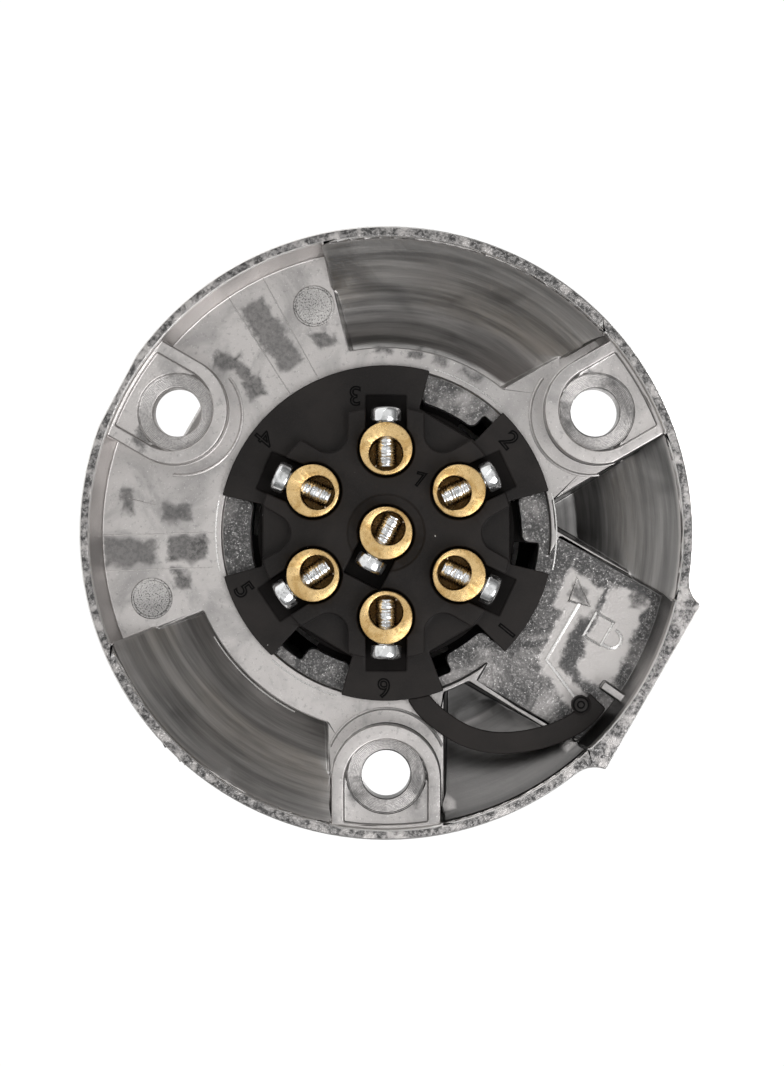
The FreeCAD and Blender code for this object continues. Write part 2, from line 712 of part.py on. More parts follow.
# ---- build --------------------------------------------------------------------------------------
def main():
    """Make every node and write its STEP file."""
    os.makedirs("parts", exist_ok=True)
    save("housing", make_housing())
    save("lid", make_lid())
    save("lid_gasket", make_lid_gasket())
    save("hinge_pin", make_hinge_pin())
    save("lid_spring", make_lid_spring())
    save("contact_insert", make_contact_insert())
    save("latch_arm", make_latch_arm())
    for number in range(1, contact_count + 2):
        save("contact_%d" % number, make_contact(number))
        save("clamp_screw_%d" % number, make_screw(number))


main()
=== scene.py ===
"""Looks of a seven-pole trailer wiring socket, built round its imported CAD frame.

The socket is a die-cast aluminium housing with a sprung lid, a black moulded contact insert and seven turned
brass contacts with slotted clamp screws. Every piece takes its place from the frame. Metres throughout, with
the millimetre sizes of the pieces' own details kept as dataclass fields.
"""

from __future__ import annotations

import json
import logging
import math
from dataclasses import astuple, dataclass
from enum import Enum
from typing import Any, Sequence

import bmesh
import bpy
from mathutils import Matrix, Vector
from mathutils.bvhtree import BVHTree

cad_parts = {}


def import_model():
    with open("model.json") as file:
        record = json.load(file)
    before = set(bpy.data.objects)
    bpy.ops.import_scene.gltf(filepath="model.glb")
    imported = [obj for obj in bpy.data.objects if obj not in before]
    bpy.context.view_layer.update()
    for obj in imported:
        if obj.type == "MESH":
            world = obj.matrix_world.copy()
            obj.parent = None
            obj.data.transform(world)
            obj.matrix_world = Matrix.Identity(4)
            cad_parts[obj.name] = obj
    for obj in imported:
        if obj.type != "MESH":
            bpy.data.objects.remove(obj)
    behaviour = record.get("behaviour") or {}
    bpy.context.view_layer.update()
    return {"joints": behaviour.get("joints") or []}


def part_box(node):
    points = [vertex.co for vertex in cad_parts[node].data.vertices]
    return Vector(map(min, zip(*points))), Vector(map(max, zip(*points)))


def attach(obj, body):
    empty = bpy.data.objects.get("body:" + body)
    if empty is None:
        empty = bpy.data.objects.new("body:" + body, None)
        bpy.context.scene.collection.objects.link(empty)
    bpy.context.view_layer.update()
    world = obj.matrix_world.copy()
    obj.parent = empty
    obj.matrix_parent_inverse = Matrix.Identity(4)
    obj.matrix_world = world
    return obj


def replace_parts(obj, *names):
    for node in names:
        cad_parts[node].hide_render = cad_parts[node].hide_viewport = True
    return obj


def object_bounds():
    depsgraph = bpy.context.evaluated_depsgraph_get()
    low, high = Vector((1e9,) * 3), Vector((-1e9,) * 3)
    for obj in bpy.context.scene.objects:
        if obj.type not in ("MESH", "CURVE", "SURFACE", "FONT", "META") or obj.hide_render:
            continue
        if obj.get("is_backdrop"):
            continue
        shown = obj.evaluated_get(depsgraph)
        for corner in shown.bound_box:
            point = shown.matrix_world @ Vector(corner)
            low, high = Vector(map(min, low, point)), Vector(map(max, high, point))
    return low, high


LOG = logging.getLogger("trailer_socket")
MM = 0.001
BACK = Vector((0.0, 1.0, 0.0))
COUNTS = ("Count", "Turns")
Colour = tuple[float, float, float]
Pair = tuple[float, float]
Run = tuple[Sequence[Vector], bool]


# ---- places -------------------------------------------------------------------------------------
def rear(u: float, v: float, depth: float) -> Vector:
    """The point u right of and v above the axis, seen from behind, and depth forward of the rim, in millimetres."""
    return Vector((-u * MM, -depth * MM, v * MM))


def clocked(radius: float, clock: float, depth: float) -> Vector:
    """The point at a radius and a clock angle, in degrees anticlockwise from the right, seen from behind."""
    angle = math.radians(clock)
    return rear(radius * math.cos(angle), radius * math.sin(angle), depth)


def clock_way(clock: float) -> Vector:
    """The unit direction out along a clock angle."""
    angle = math.radians(clock)
    return Vector((-math.cos(angle), 0.0, math.sin(angle)))


def upright(right: Vector, up: Vector, way: Vector) -> Matrix:
    """The turn that takes local X, Y and Z to three directions."""
    return Matrix((right, up, way)).transposed().to_4x4()


def arc(centre: Pair, radius: float, start: float, end: float, depth: float, steps: int) -> list[Vector]:
    """Points along an arc in the rear view.

    Args:
        centre: The arc's centre (u, v) in millimetres.
        radius: Its radius in millimetres.
        start: First angle in degrees, anticlockwise.
        end: Last angle in degrees.
        depth: Millimetres forward of the rim's plane.
        steps: Number of stretches.

    Returns:
        The points in the frame, in metres.
    """
    clocks = (start + (end - start) * step / steps for step in range(steps + 1))
    return [rear(*centre, 0.0) + clocked(radius, clock, depth) for clock in clocks]


# ---- meshes -------------------------------------------------------------------------------------
def linked(name: str, data: bpy.types.ID) -> bpy.types.Object:
    """A new object in the scene for a mesh, curve or text."""
    made = bpy.data.objects.new(name, data)
    bpy.context.scene.collection.objects.link(made)
    return made


def evaluated(draft: bpy.types.Object) -> bpy.types.Mesh:
    """A draft's mesh with its modifiers run; the draft is removed."""
    depsgraph = bpy.context.evaluated_depsgraph_get()
    mesh = bpy.data.meshes.new_from_object(draft.evaluated_get(depsgraph), depsgraph=depsgraph)
    mesh.transform(draft.matrix_world)
    bpy.data.objects.remove(draft)
    return mesh


def from_bmesh(name: str, bm: bmesh.types.BMesh) -> bpy.types.Mesh:
    """A mesh of that name from a bmesh, which is freed."""
    mesh = bpy.data.meshes.new(name)
    bm.to_mesh(mesh)
    bm.free()
    return mesh


def settled(draft: bpy.types.Object, name: str, smooth_to: float = 40.0) -> bpy.types.Object:
    """Turns a draft with modifiers into a plain mesh piece at the origin.

    Args:
        draft: The object to evaluate, which is removed.
        name: The finished piece's name.
        smooth_to: Edges sharper than this many degrees stay crisp.

    Returns:
        The finished piece.
    """
    mesh = evaluated(draft)
    mesh.name = name
    mesh.polygons.foreach_set("use_smooth", [True] * len(mesh.polygons))
    mesh.set_sharp_from_angle(angle=math.radians(smooth_to))
    return linked(name, mesh)


def weighted(piece: bpy.types.Object, name: str) -> bpy.types.Object:
    """A bevelled piece again, with normals that leave its flat faces flat."""
    modifier = piece.modifiers.new("flat_faces", "WEIGHTED_NORMAL")
    modifier.keep_sharp, modifier.weight = True, 60
    return linked(name, evaluated(piece))


def lathe_mesh(name: str, profile: Sequence[Pair], segments: int) -> bpy.types.Mesh:
    """A closed solid of revolution about local Z.

    Args:
        name: Mesh name.
        profile: (radius, height) points in millimetres, from the axis at one end to the axis at the other.
        segments: Number of segments round the axis.

    Returns:
        The mesh, in metres, with its faces outwards.
    """
    bm = bmesh.new()
    rings = []
    for radius, height in profile:
        if radius == 0.0:
            rings.append([bm.verts.new((0.0, 0.0, height * MM))])
            continue
        ring = []
        for step in range(segments):
            angle = 2.0 * math.pi * step / segments
            ring.append(bm.verts.new((radius * MM * math.cos(angle), radius * MM * math.sin(angle), height * MM)))
        rings.append(ring)
    for low, high in zip(rings, rings[1:]):
        for step in range(segments):
            after = (step + 1) % segments
            corners = [low[step % len(low)], low[after % len(low)], high[after % len(high)], high[step % len(high)]]
            kept = list(dict.fromkeys(corners))
            if len(kept) > 2:
                bm.faces.new(kept)
    bmesh.ops.recalc_face_normals(bm, faces=bm.faces)
    return from_bmesh(name, bm)


@dataclass(frozen=True)
class EdgeBreak:
    """How a piece's edges are rounded, in millimetres and degrees."""

    width: float
    segments: int = 2
    sharper_than: float = 32.0

    def refine(self, node: str, name: str) -> bpy.types.Object:
        """A copy of a CAD node with merged faces and rounded edges.

        Args:
            node: The CAD node to copy.
            name: The new piece's name.

        Returns:
            The piece, standing for the node.
        """
        bm = bmesh.new()
        bm.from_mesh(bpy.data.objects[node].data)
        bmesh.ops.remove_doubles(bm, verts=bm.verts, dist=2e-6)
        bmesh.ops.dissolve_degenerate(bm, edges=bm.edges, dist=1e-6)
        inner = [edge for edge in bm.edges if edge.is_manifold and edge.calc_face_angle() < 1e-3]
        bmesh.ops.beautify_fill(bm, faces=bm.faces, edges=inner, method="ANGLE")
        surface = BVHTree.FromBMesh(bm)
        draft = linked(name + "_draft", from_bmesh(name, bm))
        bevel = draft.modifiers.new("edge_break", "BEVEL")
        bevel.width, bevel.segments = self.width * MM, self.segments
        bevel.limit_method, bevel.angle_limit = "ANGLE", math.radians(self.sharper_than)
        bevel.use_clamp_overlap, bevel.loop_slide, bevel.miter_outer = False, False, "MITER_ARC"
        rounded = settled(draft, name + "_smooth")
        for vertex in rounded.data.vertices:
            nearest, _, _, gap = surface.find_nearest(vertex.co)
            if gap > self.width * 1.1 * MM:
                vertex.co = nearest
        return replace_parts(weighted(rounded, name), node)


# ---- node sheets --------------------------------------------------------------------------------
class Value:
    """A node's socket that can be reckoned with: the usual signs lay out Math nodes."""

    def __init__(self, sheet: NodeSheet, socket: bpy.types.NodeSocket) -> None:
        """Takes a socket of a sheet."""
        self.sheet, self.socket = sheet, socket

    def __add__(self, other: Any) -> Value:
        """The sum."""
        return self.sheet.math("ADD", self, other)

    def __sub__(self, other: Any) -> Value:
        """The difference."""
        return self.sheet.math("SUBTRACT", self, other)

    def __rsub__(self, other: Any) -> Value:
        """The difference from a number."""
        return self.sheet.math("SUBTRACT", other, self)

    def __mul__(self, other: Any) -> Value:
        """The product."""
        return self.sheet.math("MULTIPLY", self, other)

    def most(self, other: Any) -> Value:
        """The larger of the two."""
        return self.sheet.math("MAXIMUM", self, other)

    def band(self, low: float, high: float, start: float = 0.0, end: float = 1.0) -> Value:
        """A smooth rise of the value from low to high, given as start to end."""
        made = self.sheet.tree.nodes.new("ShaderNodeMapRange")
        made.interpolation_type = "SMOOTHSTEP"
        for key, given in zip(("Value", "From Min", "From Max", "To Min", "To Max"), (self, low, high, start, end)):
            self.sheet.feed(made.inputs[key], given)
        return Value(self.sheet, made.outputs[0])


class NodeSheet:
    """A node tree, with ways to feed its sockets and to reckon in it."""

    def __init__(self, tree: bpy.types.NodeTree) -> None:
        """Takes the tree to lay out."""
        self.tree = tree

    def feed(self, socket: bpy.types.NodeSocket, value: Any) -> None:
        """Links a socket, or sets its value."""
        if isinstance(value, Value):
            self.tree.links.new(value.socket, socket)
        elif isinstance(value, tuple) and len(value) == 3 and socket.type == "RGBA":
            socket.default_value = (*value, 1.0)
        else:
            socket.default_value = value

    def math(self, operation: str, *values: Any) -> Value:
        """The result of a Math node on values or numbers."""
        made = self.tree.nodes.new("ShaderNodeMath")
        made.operation = operation
        for socket, value in zip(made.inputs, values):
            self.feed(socket, value)
        return Value(self, made.outputs[0])

    def length(self, across: Value, up: Value) -> Value:
        """The length of a two-part offset."""
        return self.math("SQRT", self.math("POWER", across, 2.0) + self.math("POWER", up, 2.0))

    def gather(self, x: Any, y: Any, z: Any) -> Value:
        """A vector from three values or numbers."""
        made = self.tree.nodes.new("ShaderNodeCombineXYZ")
        for socket, value in zip(made.inputs, (x, y, z)):
            self.feed(socket, value)
        return Value(self, made.outputs[0])


class GeometrySheet(NodeSheet):
    """Lays out one Geometry Nodes tree that ends in Realize Instances and Set Material."""

    def __init__(self, name: str) -> None:
        """Starts an empty tree of that name."""
        super().__init__(bpy.data.node_groups.new(name, "GeometryNodeTree"))
        for way in ("INPUT", "OUTPUT"):
            self.tree.interface.new_socket("Geometry", in_out=way, socket_type="NodeSocketGeometry")
        self.keys: dict[str, str] = {}
        self.way_in = self.tree.nodes.new("NodeGroupInput")
        self.given = Value(self, self.way_in.outputs["Geometry"])

    def size(self, name: str, kind: str = "NodeSocketFloat") -> Value:
        """A named input of the tree.

        Args:
            name: The input's name.
            kind: The socket type.

        Returns:
            The value that carries it inside the tree.
        """
        item = self.tree.interface.new_socket(name, in_out="INPUT", socket_type=kind)
        self.keys[name] = item.identifier
        return Value(self, self.way_in.outputs[name])

    def node(self, kind: str, **inputs: Any) -> Value:
        """A node with its inputs linked or set.

        Args:
            kind: Blender's node type.
            inputs: Input names, with underscores for spaces, and a value for each.

        Returns:
            The node's first output.
        """
        made = self.tree.nodes.new(kind)
        for key, value in inputs.items():
            self.feed(next(s for s in made.inputs if s.name == key.replace("_", " ") and s.enabled), value)
        return Value(self, made.outputs[0])

    def tube(self, path: Value, radius: Any, sides: int) -> Value:
        """A closed round tube along a path."""
        ring = self.node("GeometryNodeCurvePrimitiveCircle", Resolution=sides, Radius=radius)
        return self.node("GeometryNodeCurveToMesh", Curve=path, Profile_Curve=ring, Fill_Caps=True)

    def helix(self, steps: int, radius: Value, turns: Value, height: Value) -> Value:
        """A helix along local Z, with so many steps to a turn."""
        ends = {"Start_Radius": radius, "End_Radius": radius}
        return self.node("GeometryNodeCurveSpiral", Resolution=steps, Rotations=turns, Height=height, **ends)

    def end(self, *parts: Value) -> GeometrySheet:
        """Closes the tree with the parts as real geometry with their finish."""
        joined = self.tree.nodes.new("GeometryNodeJoinGeometry")
        for part in parts:
            self.feed(joined.inputs[0], part)
        real = self.node("GeometryNodeRealizeInstances", Geometry=Value(self, joined.outputs[0]))
        finish = self.size("Finish", "NodeSocketMaterial")
        dressed = self.node("GeometryNodeSetMaterial", Geometry=real, Material=finish)
        self.feed(self.tree.nodes.new("NodeGroupOutput").inputs[0], dressed)
        return self

    def make(
        self, name: str, sizes: dict[str, Any], finish: bpy.types.Material, source: bpy.types.Object | None = None
    ) -> bpy.types.Object:
        """Runs the tree once and keeps its result as a plain mesh.

        Args:
            name: The finished piece's name.
            sizes: A value for each named input, the lengths in millimetres.
            finish: The material.
            source: The curve or mesh that the tree works on, if it needs one.

        Returns:
            The finished piece.
        """
        draft = source or linked(name + "_draft", bpy.data.meshes.new(name + "_draft"))
        modifier = draft.modifiers.new(self.tree.name, "NODES")
        modifier.node_group = self.tree
        for key, value in sizes.items():
            modifier[self.keys[key]] = value if key in COUNTS else value * MM
        modifier[self.keys["Finish"]] = finish
        return settled(draft, name)

    def follow(
        self, name: str, sizes: dict[str, Any], finish: bpy.types.Material, *runs: Run
    ) -> bpy.types.Object:
        """Runs the tree along straight-sided runs.

        Args:
            name: The finished piece's name.
            sizes: A value for each named input.
            finish: The material.
            runs: Each run's points and whether it closes on itself.

        Returns:
            The finished piece.
        """
        data = bpy.data.curves.new(name + "_draft", "CURVE")
        data.dimensions = "3D"
        for points, closed in runs:
            spline = data.splines.new("POLY")
            spline.points.add(len(points) - 1)
            for point, place in zip(spline.points, points):
                point.co = (*place, 1.0)
            spline.use_cyclic_u = closed
        return self.make(name, sizes, finish, linked(name + "_draft", data))


def raised_bead_tree() -> GeometrySheet:
    """A round bead that follows a curve, for cast outlines, seams and steps."""
    sheet = GeometrySheet("raised_bead")
    return sheet.end(sheet.tube(sheet.given, sheet.size("Bead radius"), 8))


def threaded_shank_tree() -> GeometrySheet:
    """A round core with a thread ridge wound round it, along local Z."""
    sheet = GeometrySheet("threaded_shank")
    core, crest = sheet.size("Core radius"), sheet.size("Crest radius")
    pitch, length = sheet.size("Pitch"), sheet.size("Length")
    line = sheet.node("GeometryNodeCurvePrimitiveLine", End=sheet.gather(0.0, 0.0, length))
    winding = sheet.helix(28, (core + crest) * 0.5, sheet.math("DIVIDE", length, pitch), length)
    return sheet.end(sheet.tube(line, core, 40), sheet.tube(winding, pitch * 0.34, 6))


def wire_coil_tree() -> GeometrySheet:
    """A wire wound into a coil along local Z."""
    sheet = GeometrySheet("wire_coil")
    wire, turn = sheet.size("Wire radius"), sheet.size("Turn radius")
    turns, length = sheet.size("Turns"), sheet.size("Length")
    return sheet.end(sheet.tube(sheet.helix(48, turn, turns, length), wire, 14))


def bent_wire_tree() -> GeometrySheet:
    """A wire that follows a path, with rounded bends."""
    sheet = GeometrySheet("bent_wire")
    wire, bend = sheet.size("Wire radius"), sheet.size("Bend radius")
    rounded = sheet.node("GeometryNodeFilletCurve", Curve=sheet.given, Radius=bend)
    fillet = rounded.socket.node
    fillet.mode = "POLY"
    fillet.inputs["Count"].default_value = 6
    return sheet.end(sheet.tube(rounded, wire, 14))


def repeated_rib_tree() -> GeometrySheet:
    """One mesh repeated along local X at an even pitch."""
    sheet = GeometrySheet("repeated_rib")
    count, pitch = sheet.size("Count", "NodeSocketInt"), sheet.size("Pitch")
    line = sheet.node("GeometryNodeMeshLine", Count=count, Offset=sheet.gather(pitch, 0.0, 0.0))
    return sheet.end(sheet.node("GeometryNodeInstanceOnPoints", Points=line, Instance=sheet.given))


class ShaderSheet(NodeSheet):
    """Lays out the nodes of one procedural finish on a Principled shader."""

    def __init__(self, name: str, metallic: float, roughness: float) -> None:
        """Starts a finish.

        Args:
            name: The material's name.
            metallic: 1 for a metal, 0 otherwise.
            roughness: The surface's roughness where nothing drives it.
        """
        self.material = bpy.data.materials.new(name)
        self.material.use_nodes = True
        super().__init__(self.material.node_tree)
        self.tree.nodes.clear()
        out = self.tree.nodes.new("ShaderNodeOutputMaterial")
        self.shader = self.tree.nodes.new("ShaderNodeBsdfPrincipled")
        self.tree.links.new(self.shader.outputs[0], out.inputs["Surface"])
        self.shader.inputs["Metallic"].default_value = metallic
        self.shader.inputs["Roughness"].default_value = roughness
        coords = self.tree.nodes.new("ShaderNodeTexCoord")
        self.place, self.facing = Value(self, coords.outputs["Object"]), Value(self, coords.outputs["Normal"])

    def split(self, vector: Value) -> tuple[Value, ...]:
        """The X, Y and Z of a vector."""
        made = self.tree.nodes.new("ShaderNodeSeparateXYZ")
        self.feed(made.inputs[0], vector)
        return tuple(Value(self, part) for part in made.outputs)

    def noise(
        self, scale: float, detail: float = 3.0, rough: float = 0.55, vector: Value | None = None, bend: float = 0.0
    ) -> Value:
        """A noise value from 0 to 1.

        Args:
            scale: Grains per metre.
            detail: Octaves.
            rough: Weight of the finer octaves.
            vector: Where to read it, or the object's own coordinates.
            bend: Distortion.

        Returns:
            The noise's factor.
        """
        made = self.tree.nodes.new("ShaderNodeTexNoise")
        keys = ("Vector", "Scale", "Detail", "Roughness", "Distortion")
        for key, value in zip(keys, (vector or self.place, scale, detail, rough, bend)):
            self.feed(made.inputs[key], value)
        return Value(self, made.outputs["Fac"])

    def blend(self, factor: Any, first: Any, second: Any) -> Value:
        """A colour between two, by a factor."""
        made = self.tree.nodes.new("ShaderNodeMix")
        made.data_type, made.clamp_factor = "RGBA", True
        self.feed(made.inputs["Factor"], factor)
        for key, colour in (("A", first), ("B", second)):
            self.feed(next(s for s in made.inputs if s.name == key and s.type == "RGBA"), colour)
        return Value(self, next(s for s in made.outputs if s.type == "RGBA"))

    def layers(self, under: Any, *coats: tuple[Any, Any]) -> Value:
        """A colour with others laid over it in turn, each as (share, colour)."""
        for share, colour in coats:
            under = self.blend(share, under, colour)
        return under

    def bump(self, height: Value, depth: float, strength: float = 1.0, over: Value | None = None) -> Value:
        """A normal bent by a height field.

        Args:
            height: The height, from 0 to 1.
            depth: What a height of 1 measures, in millimetres.
            strength: How much of it shows.
            over: The normal that it adds to.

        Returns:
            The bent normal.
        """
        made = self.tree.nodes.new("ShaderNodeBump")
        made.inputs["Strength"].default_value = strength
        made.inputs["Distance"].default_value = depth * MM
        self.feed(made.inputs["Height"], height)
        if over is not None:
            self.feed(made.inputs["Normal"], over)
        return Value(self, made.outputs[0])

    def dress(self, colour: Value, roughness: Value | None = None, normal: Value | None = None) -> bpy.types.Material:
        """Feeds the shader and hands the material over."""
        for key, value in (("Base Color", colour), ("Roughness", roughness), ("Normal", normal)):
            if value is not None:
                self.feed(self.shader.inputs[key], value)
        return self.material


@dataclass(frozen=True)
class SoftPatch:
    """A soft-edged rectangle of another shade on the casting, in rear-view millimetres."""

    u: float
    v: float
    half_length: float
    half_width: float
    turn: float
    weight: float = 1.0


def soft_patch_group() -> bpy.types.ShaderNodeTree:
    """The node group that gives one soft patch's share at a point (u, v) of the rear view."""
    group = bpy.data.node_groups.new("plate_soft_patch", "ShaderNodeTree")
    names = ("U", "V", "Centre U", "Centre V", "Half length", "Half width", "Turn", "Weight")
    for name in names:
        group.interface.new_socket(name, in_out="INPUT", socket_type="NodeSocketFloat")
    group.interface.new_socket("Share", in_out="OUTPUT", socket_type="NodeSocketFloat")
    way_in, way_out = group.nodes.new("NodeGroupInput"), group.nodes.new("NodeGroupOutput")
    sheet = NodeSheet(group)
    given = (Value(sheet, way_in.outputs[name]) for name in names)
    u, v, centre_u, centre_v, half_length, half_width, turn, weight = given
    du, dv, cosine, sine = u - centre_u, v - centre_v, sheet.math("COSINE", turn), sheet.math("SINE", turn)
    past_end = sheet.math("ABSOLUTE", du * cosine + dv * sine) - half_length
    past_side = sheet.math("ABSOLUTE", dv * cosine - du * sine) - half_width
    sheet.feed(way_out.inputs[0], past_end.most(past_side).band(0.5, -0.45) * weight)
    return group


class RearView:
    """Where a point of the housing lies in the rear view, in millimetres, and the grains of its skin."""

    def __init__(self, sheet: ShaderSheet) -> None:
        """Lays out the places and the noises.

        Args:
            sheet: The finish that they serve.
        """
        x, y, z = sheet.split(sheet.place)
        self.sheet, self.group = sheet, soft_patch_group()
        self.u, self.v, self.depth = x * -1000.0, z * 1000.0, y * -1000.0
        self.radius = sheet.length(self.u, self.v)
        self.angle = sheet.math("ARCTAN2", self.v, self.u)
        self.flat_on = sheet.split(sheet.facing)[1]
        self.back = self.flat_on.band(0.86, 0.97)
        self.grain, self.pepper = sheet.noise(4200.0, 2.0, 0.65), sheet.noise(1700.0, 3.0, 0.7)
        self.cloud = sheet.noise(130.0, 4.0, 0.6, bend=0.8)
        waver = (sheet.noise(900.0, 3.0, 0.6) - 0.5) * 1.5
        drift = (sheet.noise(330.0, 2.0, 0.5) - 0.5) * 2.6
        self.wavy = (self.u + waver + drift, self.v - waver + drift)

    def share(self, spots: Sequence[SoftPatch]) -> Value:
        """The strongest share of several soft patches, with wavy outlines."""
        total: Any = 0.0
        for spot in spots:
            node = self.sheet.tree.nodes.new("ShaderNodeGroup")
            node.node_tree = self.group
            for socket, value in zip(node.inputs, (*self.wavy, *astuple(spot))):
                self.sheet.feed(socket, value)
            total = self.sheet.math("MAXIMUM", total, Value(self.sheet, node.outputs[0]))
        return total

    def off_clock(self, clock: float) -> Value:
        """How far, in radians, the point's angle is from a clock angle."""
        turn = self.sheet.math("WRAP", self.angle - math.radians(clock), math.pi, -math.pi)
        return self.sheet.math("ABSOLUTE", turn)


# ---- finishes -----------------------------------------------------------------------------------
class Slot(Enum):
    """The record's material slots."""

    CAST = "cast_aluminium"
    PLASTIC = "black_plastic"
    BRASS = "turned_brass"
    ZINC = "zinc_steel"
    PIN = "pin_steel"
    SPRING = "spring_steel"
    RUBBER = "seal_rubber"


@dataclass(frozen=True)
class PlainCasting:
    """Die-cast aluminium as it leaves the tool, for the lid and the housing's marks."""

    base: Colour = (0.58, 0.565, 0.555)
    dark: Colour = (0.30, 0.295, 0.29)
    roughness: float = 0.42
    grain: float = 3600.0
    speckle: float = 0.35
    relief: float = 0.03

    def material(self, name: str) -> bpy.types.Material:
        """Builds the finish.

        Args:
            name: The material's name.

        Returns:
            The material.
        """
        sheet = ShaderSheet(name, 1.0, self.roughness)
        cloud = sheet.noise(85.0, 4.0, 0.6, bend=0.6).band(0.4, 0.72)
        fine = sheet.noise(self.grain, 2.0, 0.6)
        colour = sheet.blend(cloud * 0.5 + fine.band(0.5, 0.66, 0.0, self.speckle), self.base, self.dark)
        rough = cloud * -0.08 + fine.band(0.3, 0.7, self.roughness, self.roughness + 0.12)
        soft = sheet.bump(sheet.noise(420.0, 3.0), 0.05, 0.5)
        return sheet.dress(colour, rough, sheet.bump(fine, self.relief, 0.7, soft))


@dataclass(frozen=True)
class HousingCasting:
    """The housing's casting skin: speckled rim and plate, pale plateaus with dark patches, smooth hollows in painted
    shade and reflection.
    """

    pale: Colour = (0.52, 0.498, 0.488)
    grey: Colour = (0.27, 0.262, 0.26)
    dark: Colour = (0.07, 0.069, 0.069)
    # Bright speckle, and the painted highlight on the rim's edges.
    bright: Colour = (0.80, 0.785, 0.775)
    # The pale colour of the painted reflection streaks in the hollows.
    hollow: Colour = (0.62, 0.605, 0.595)
    front: Colour = (0.58, 0.565, 0.555)
    above_rim: Pair = (0.45, 0.05)
    off_rim: Pair = (0.3, 0.6)
    rim_edge_glint: Pair = (0.5, 0.2)
    above_plateau: Pair = (6.5, 6.15)
    below_plateau: Pair = (6.3, 6.7)
    above_plate: Pair = (10.5, 9.9)
    in_slope: Pair = (1.0, 1.6)
    on_floor: Pair = (10.6, 11.2)
    below_floor: Pair = (12.3, 12.8)
    outer_wall: Pair = (39.8, 40.3)
    boss_top: Pair = (1.3, 1.5)
    boss_foot: Pair = (2.6, 2.2)
    plateau_clock: float = -87.75
    plateau_reach: Pair = (0.885, 0.86)
    hole_radius: float = 32.33
    ring_outer: float = 5.25
    plateau_patches: tuple[SoftPatch, ...] = (
        SoftPatch(-9.35, -30.1, 1.7, 1.25, -0.9, 0.95),
        SoftPatch(-9.2, -27.6, 1.9, 0.75, 1.3, 0.92),
        SoftPatch(-8.0, -25.2, 1.3, 1.3, 0.9, 0.95),
        SoftPatch(-15.6, -26.9, 5.1, 1.75, 1.11, 0.85),
        SoftPatch(-18.5, -20.6, 1.4, 1.3, 1.1, 0.92),
        SoftPatch(13.6, -32.3, 1.7, 0.7, 0.5, 0.92),
        SoftPatch(11.8, -25.9, 1.0, 2.0, 0.45, 0.92),
        SoftPatch(19.6, -28.6, 3.6, 1.9, -1.05, 0.85),
        SoftPatch(15.2, -22.3, 2.6, 1.9, -1.05, 0.95),
        SoftPatch(19.2, -20.6, 1.1, 1.2, -1.05, 0.92),
    )
    blotches: tuple[SoftPatch, ...] = (
        SoftPatch(-32.3, 13.3, 1.0, 0.8, 0.5, 0.9),
        SoftPatch(-28.6, 20.2, 1.2, 0.8, 0.3, 0.9),
        SoftPatch(-3.9, -34.7, 1.0, 0.8, 0.2, 0.9),
        SoftPatch(5.2, -34.8, 1.3, 0.9, 0.0, 0.9),
        SoftPatch(32.0, 13.7, 1.2, 0.7, 0.2, 0.8),
        SoftPatch(28.7, 21.0, 1.0, 0.7, 0.2, 0.8),
        SoftPatch(-23.2, -8.9, 0.5, 1.1, 0.4, 0.9),
        SoftPatch(-23.9, -5.4, 0.6, 0.8, 0.2, 0.8),
        SoftPatch(-24.3, -0.5, 0.4, 1.6, 0.0, 0.8),
        SoftPatch(-21.3, -12.6, 0.5, 1.2, 0.5, 0.9),
    )
    halos: tuple[SoftPatch, ...] = (
        SoftPatch(-5.6, 26.6, 2.6, 2.5, 0.0, 1.0),
        SoftPatch(-0.3, 27.3, 4.8, 1.2, 0.0, 1.0),
        SoftPatch(5.6, 31.0, 4.2, 1.2, 1.18, 1.0),
        SoftPatch(-3.0, 33.3, 6.9, 2.7, 0.12, 1.0),
    )
    shadows: tuple[SoftPatch, ...] = (
        SoftPatch(0.2, 29.6, 3.6, 0.75, 0.06, 0.9),
        SoftPatch(3.6, 31.0, 1.7, 0.6, 1.05, 0.9),
        SoftPatch(-9.9, 33.6, 1.3, 1.0, 0.4, 0.9),
        SoftPatch(-5.8, 26.8, 0.8, 0.9, 0.2, 0.85),
    )

    def material(self, name: str) -> bpy.types.Material:
        """Builds the finish.

        Args:
            name: The material's name.

        Returns:
            The material.
        """
        sheet = ShaderSheet(name, 1.0, 0.4)
        view = RearView(sheet)
        back, depth, grain = view.back, view.depth, view.grain
        rim = depth.band(*self.above_rim) * back
        plateau = back * depth.band(*self.above_plateau)
        plate = back * (depth.band(*self.below_plateau) * depth.band(*self.above_plate))
        beside_plateau = view.off_clock(self.plateau_clock).band(*self.plateau_reach)
        # Painted shade: faces that turn away from the back, down the hollows' slopes and on their floors, take the
        # hollows' darker colours.
        slope = (1.0 - back) * depth.band(*self.in_slope) * (1.0 - beside_plateau)
        hollow = slope.most(depth.band(*self.on_floor))
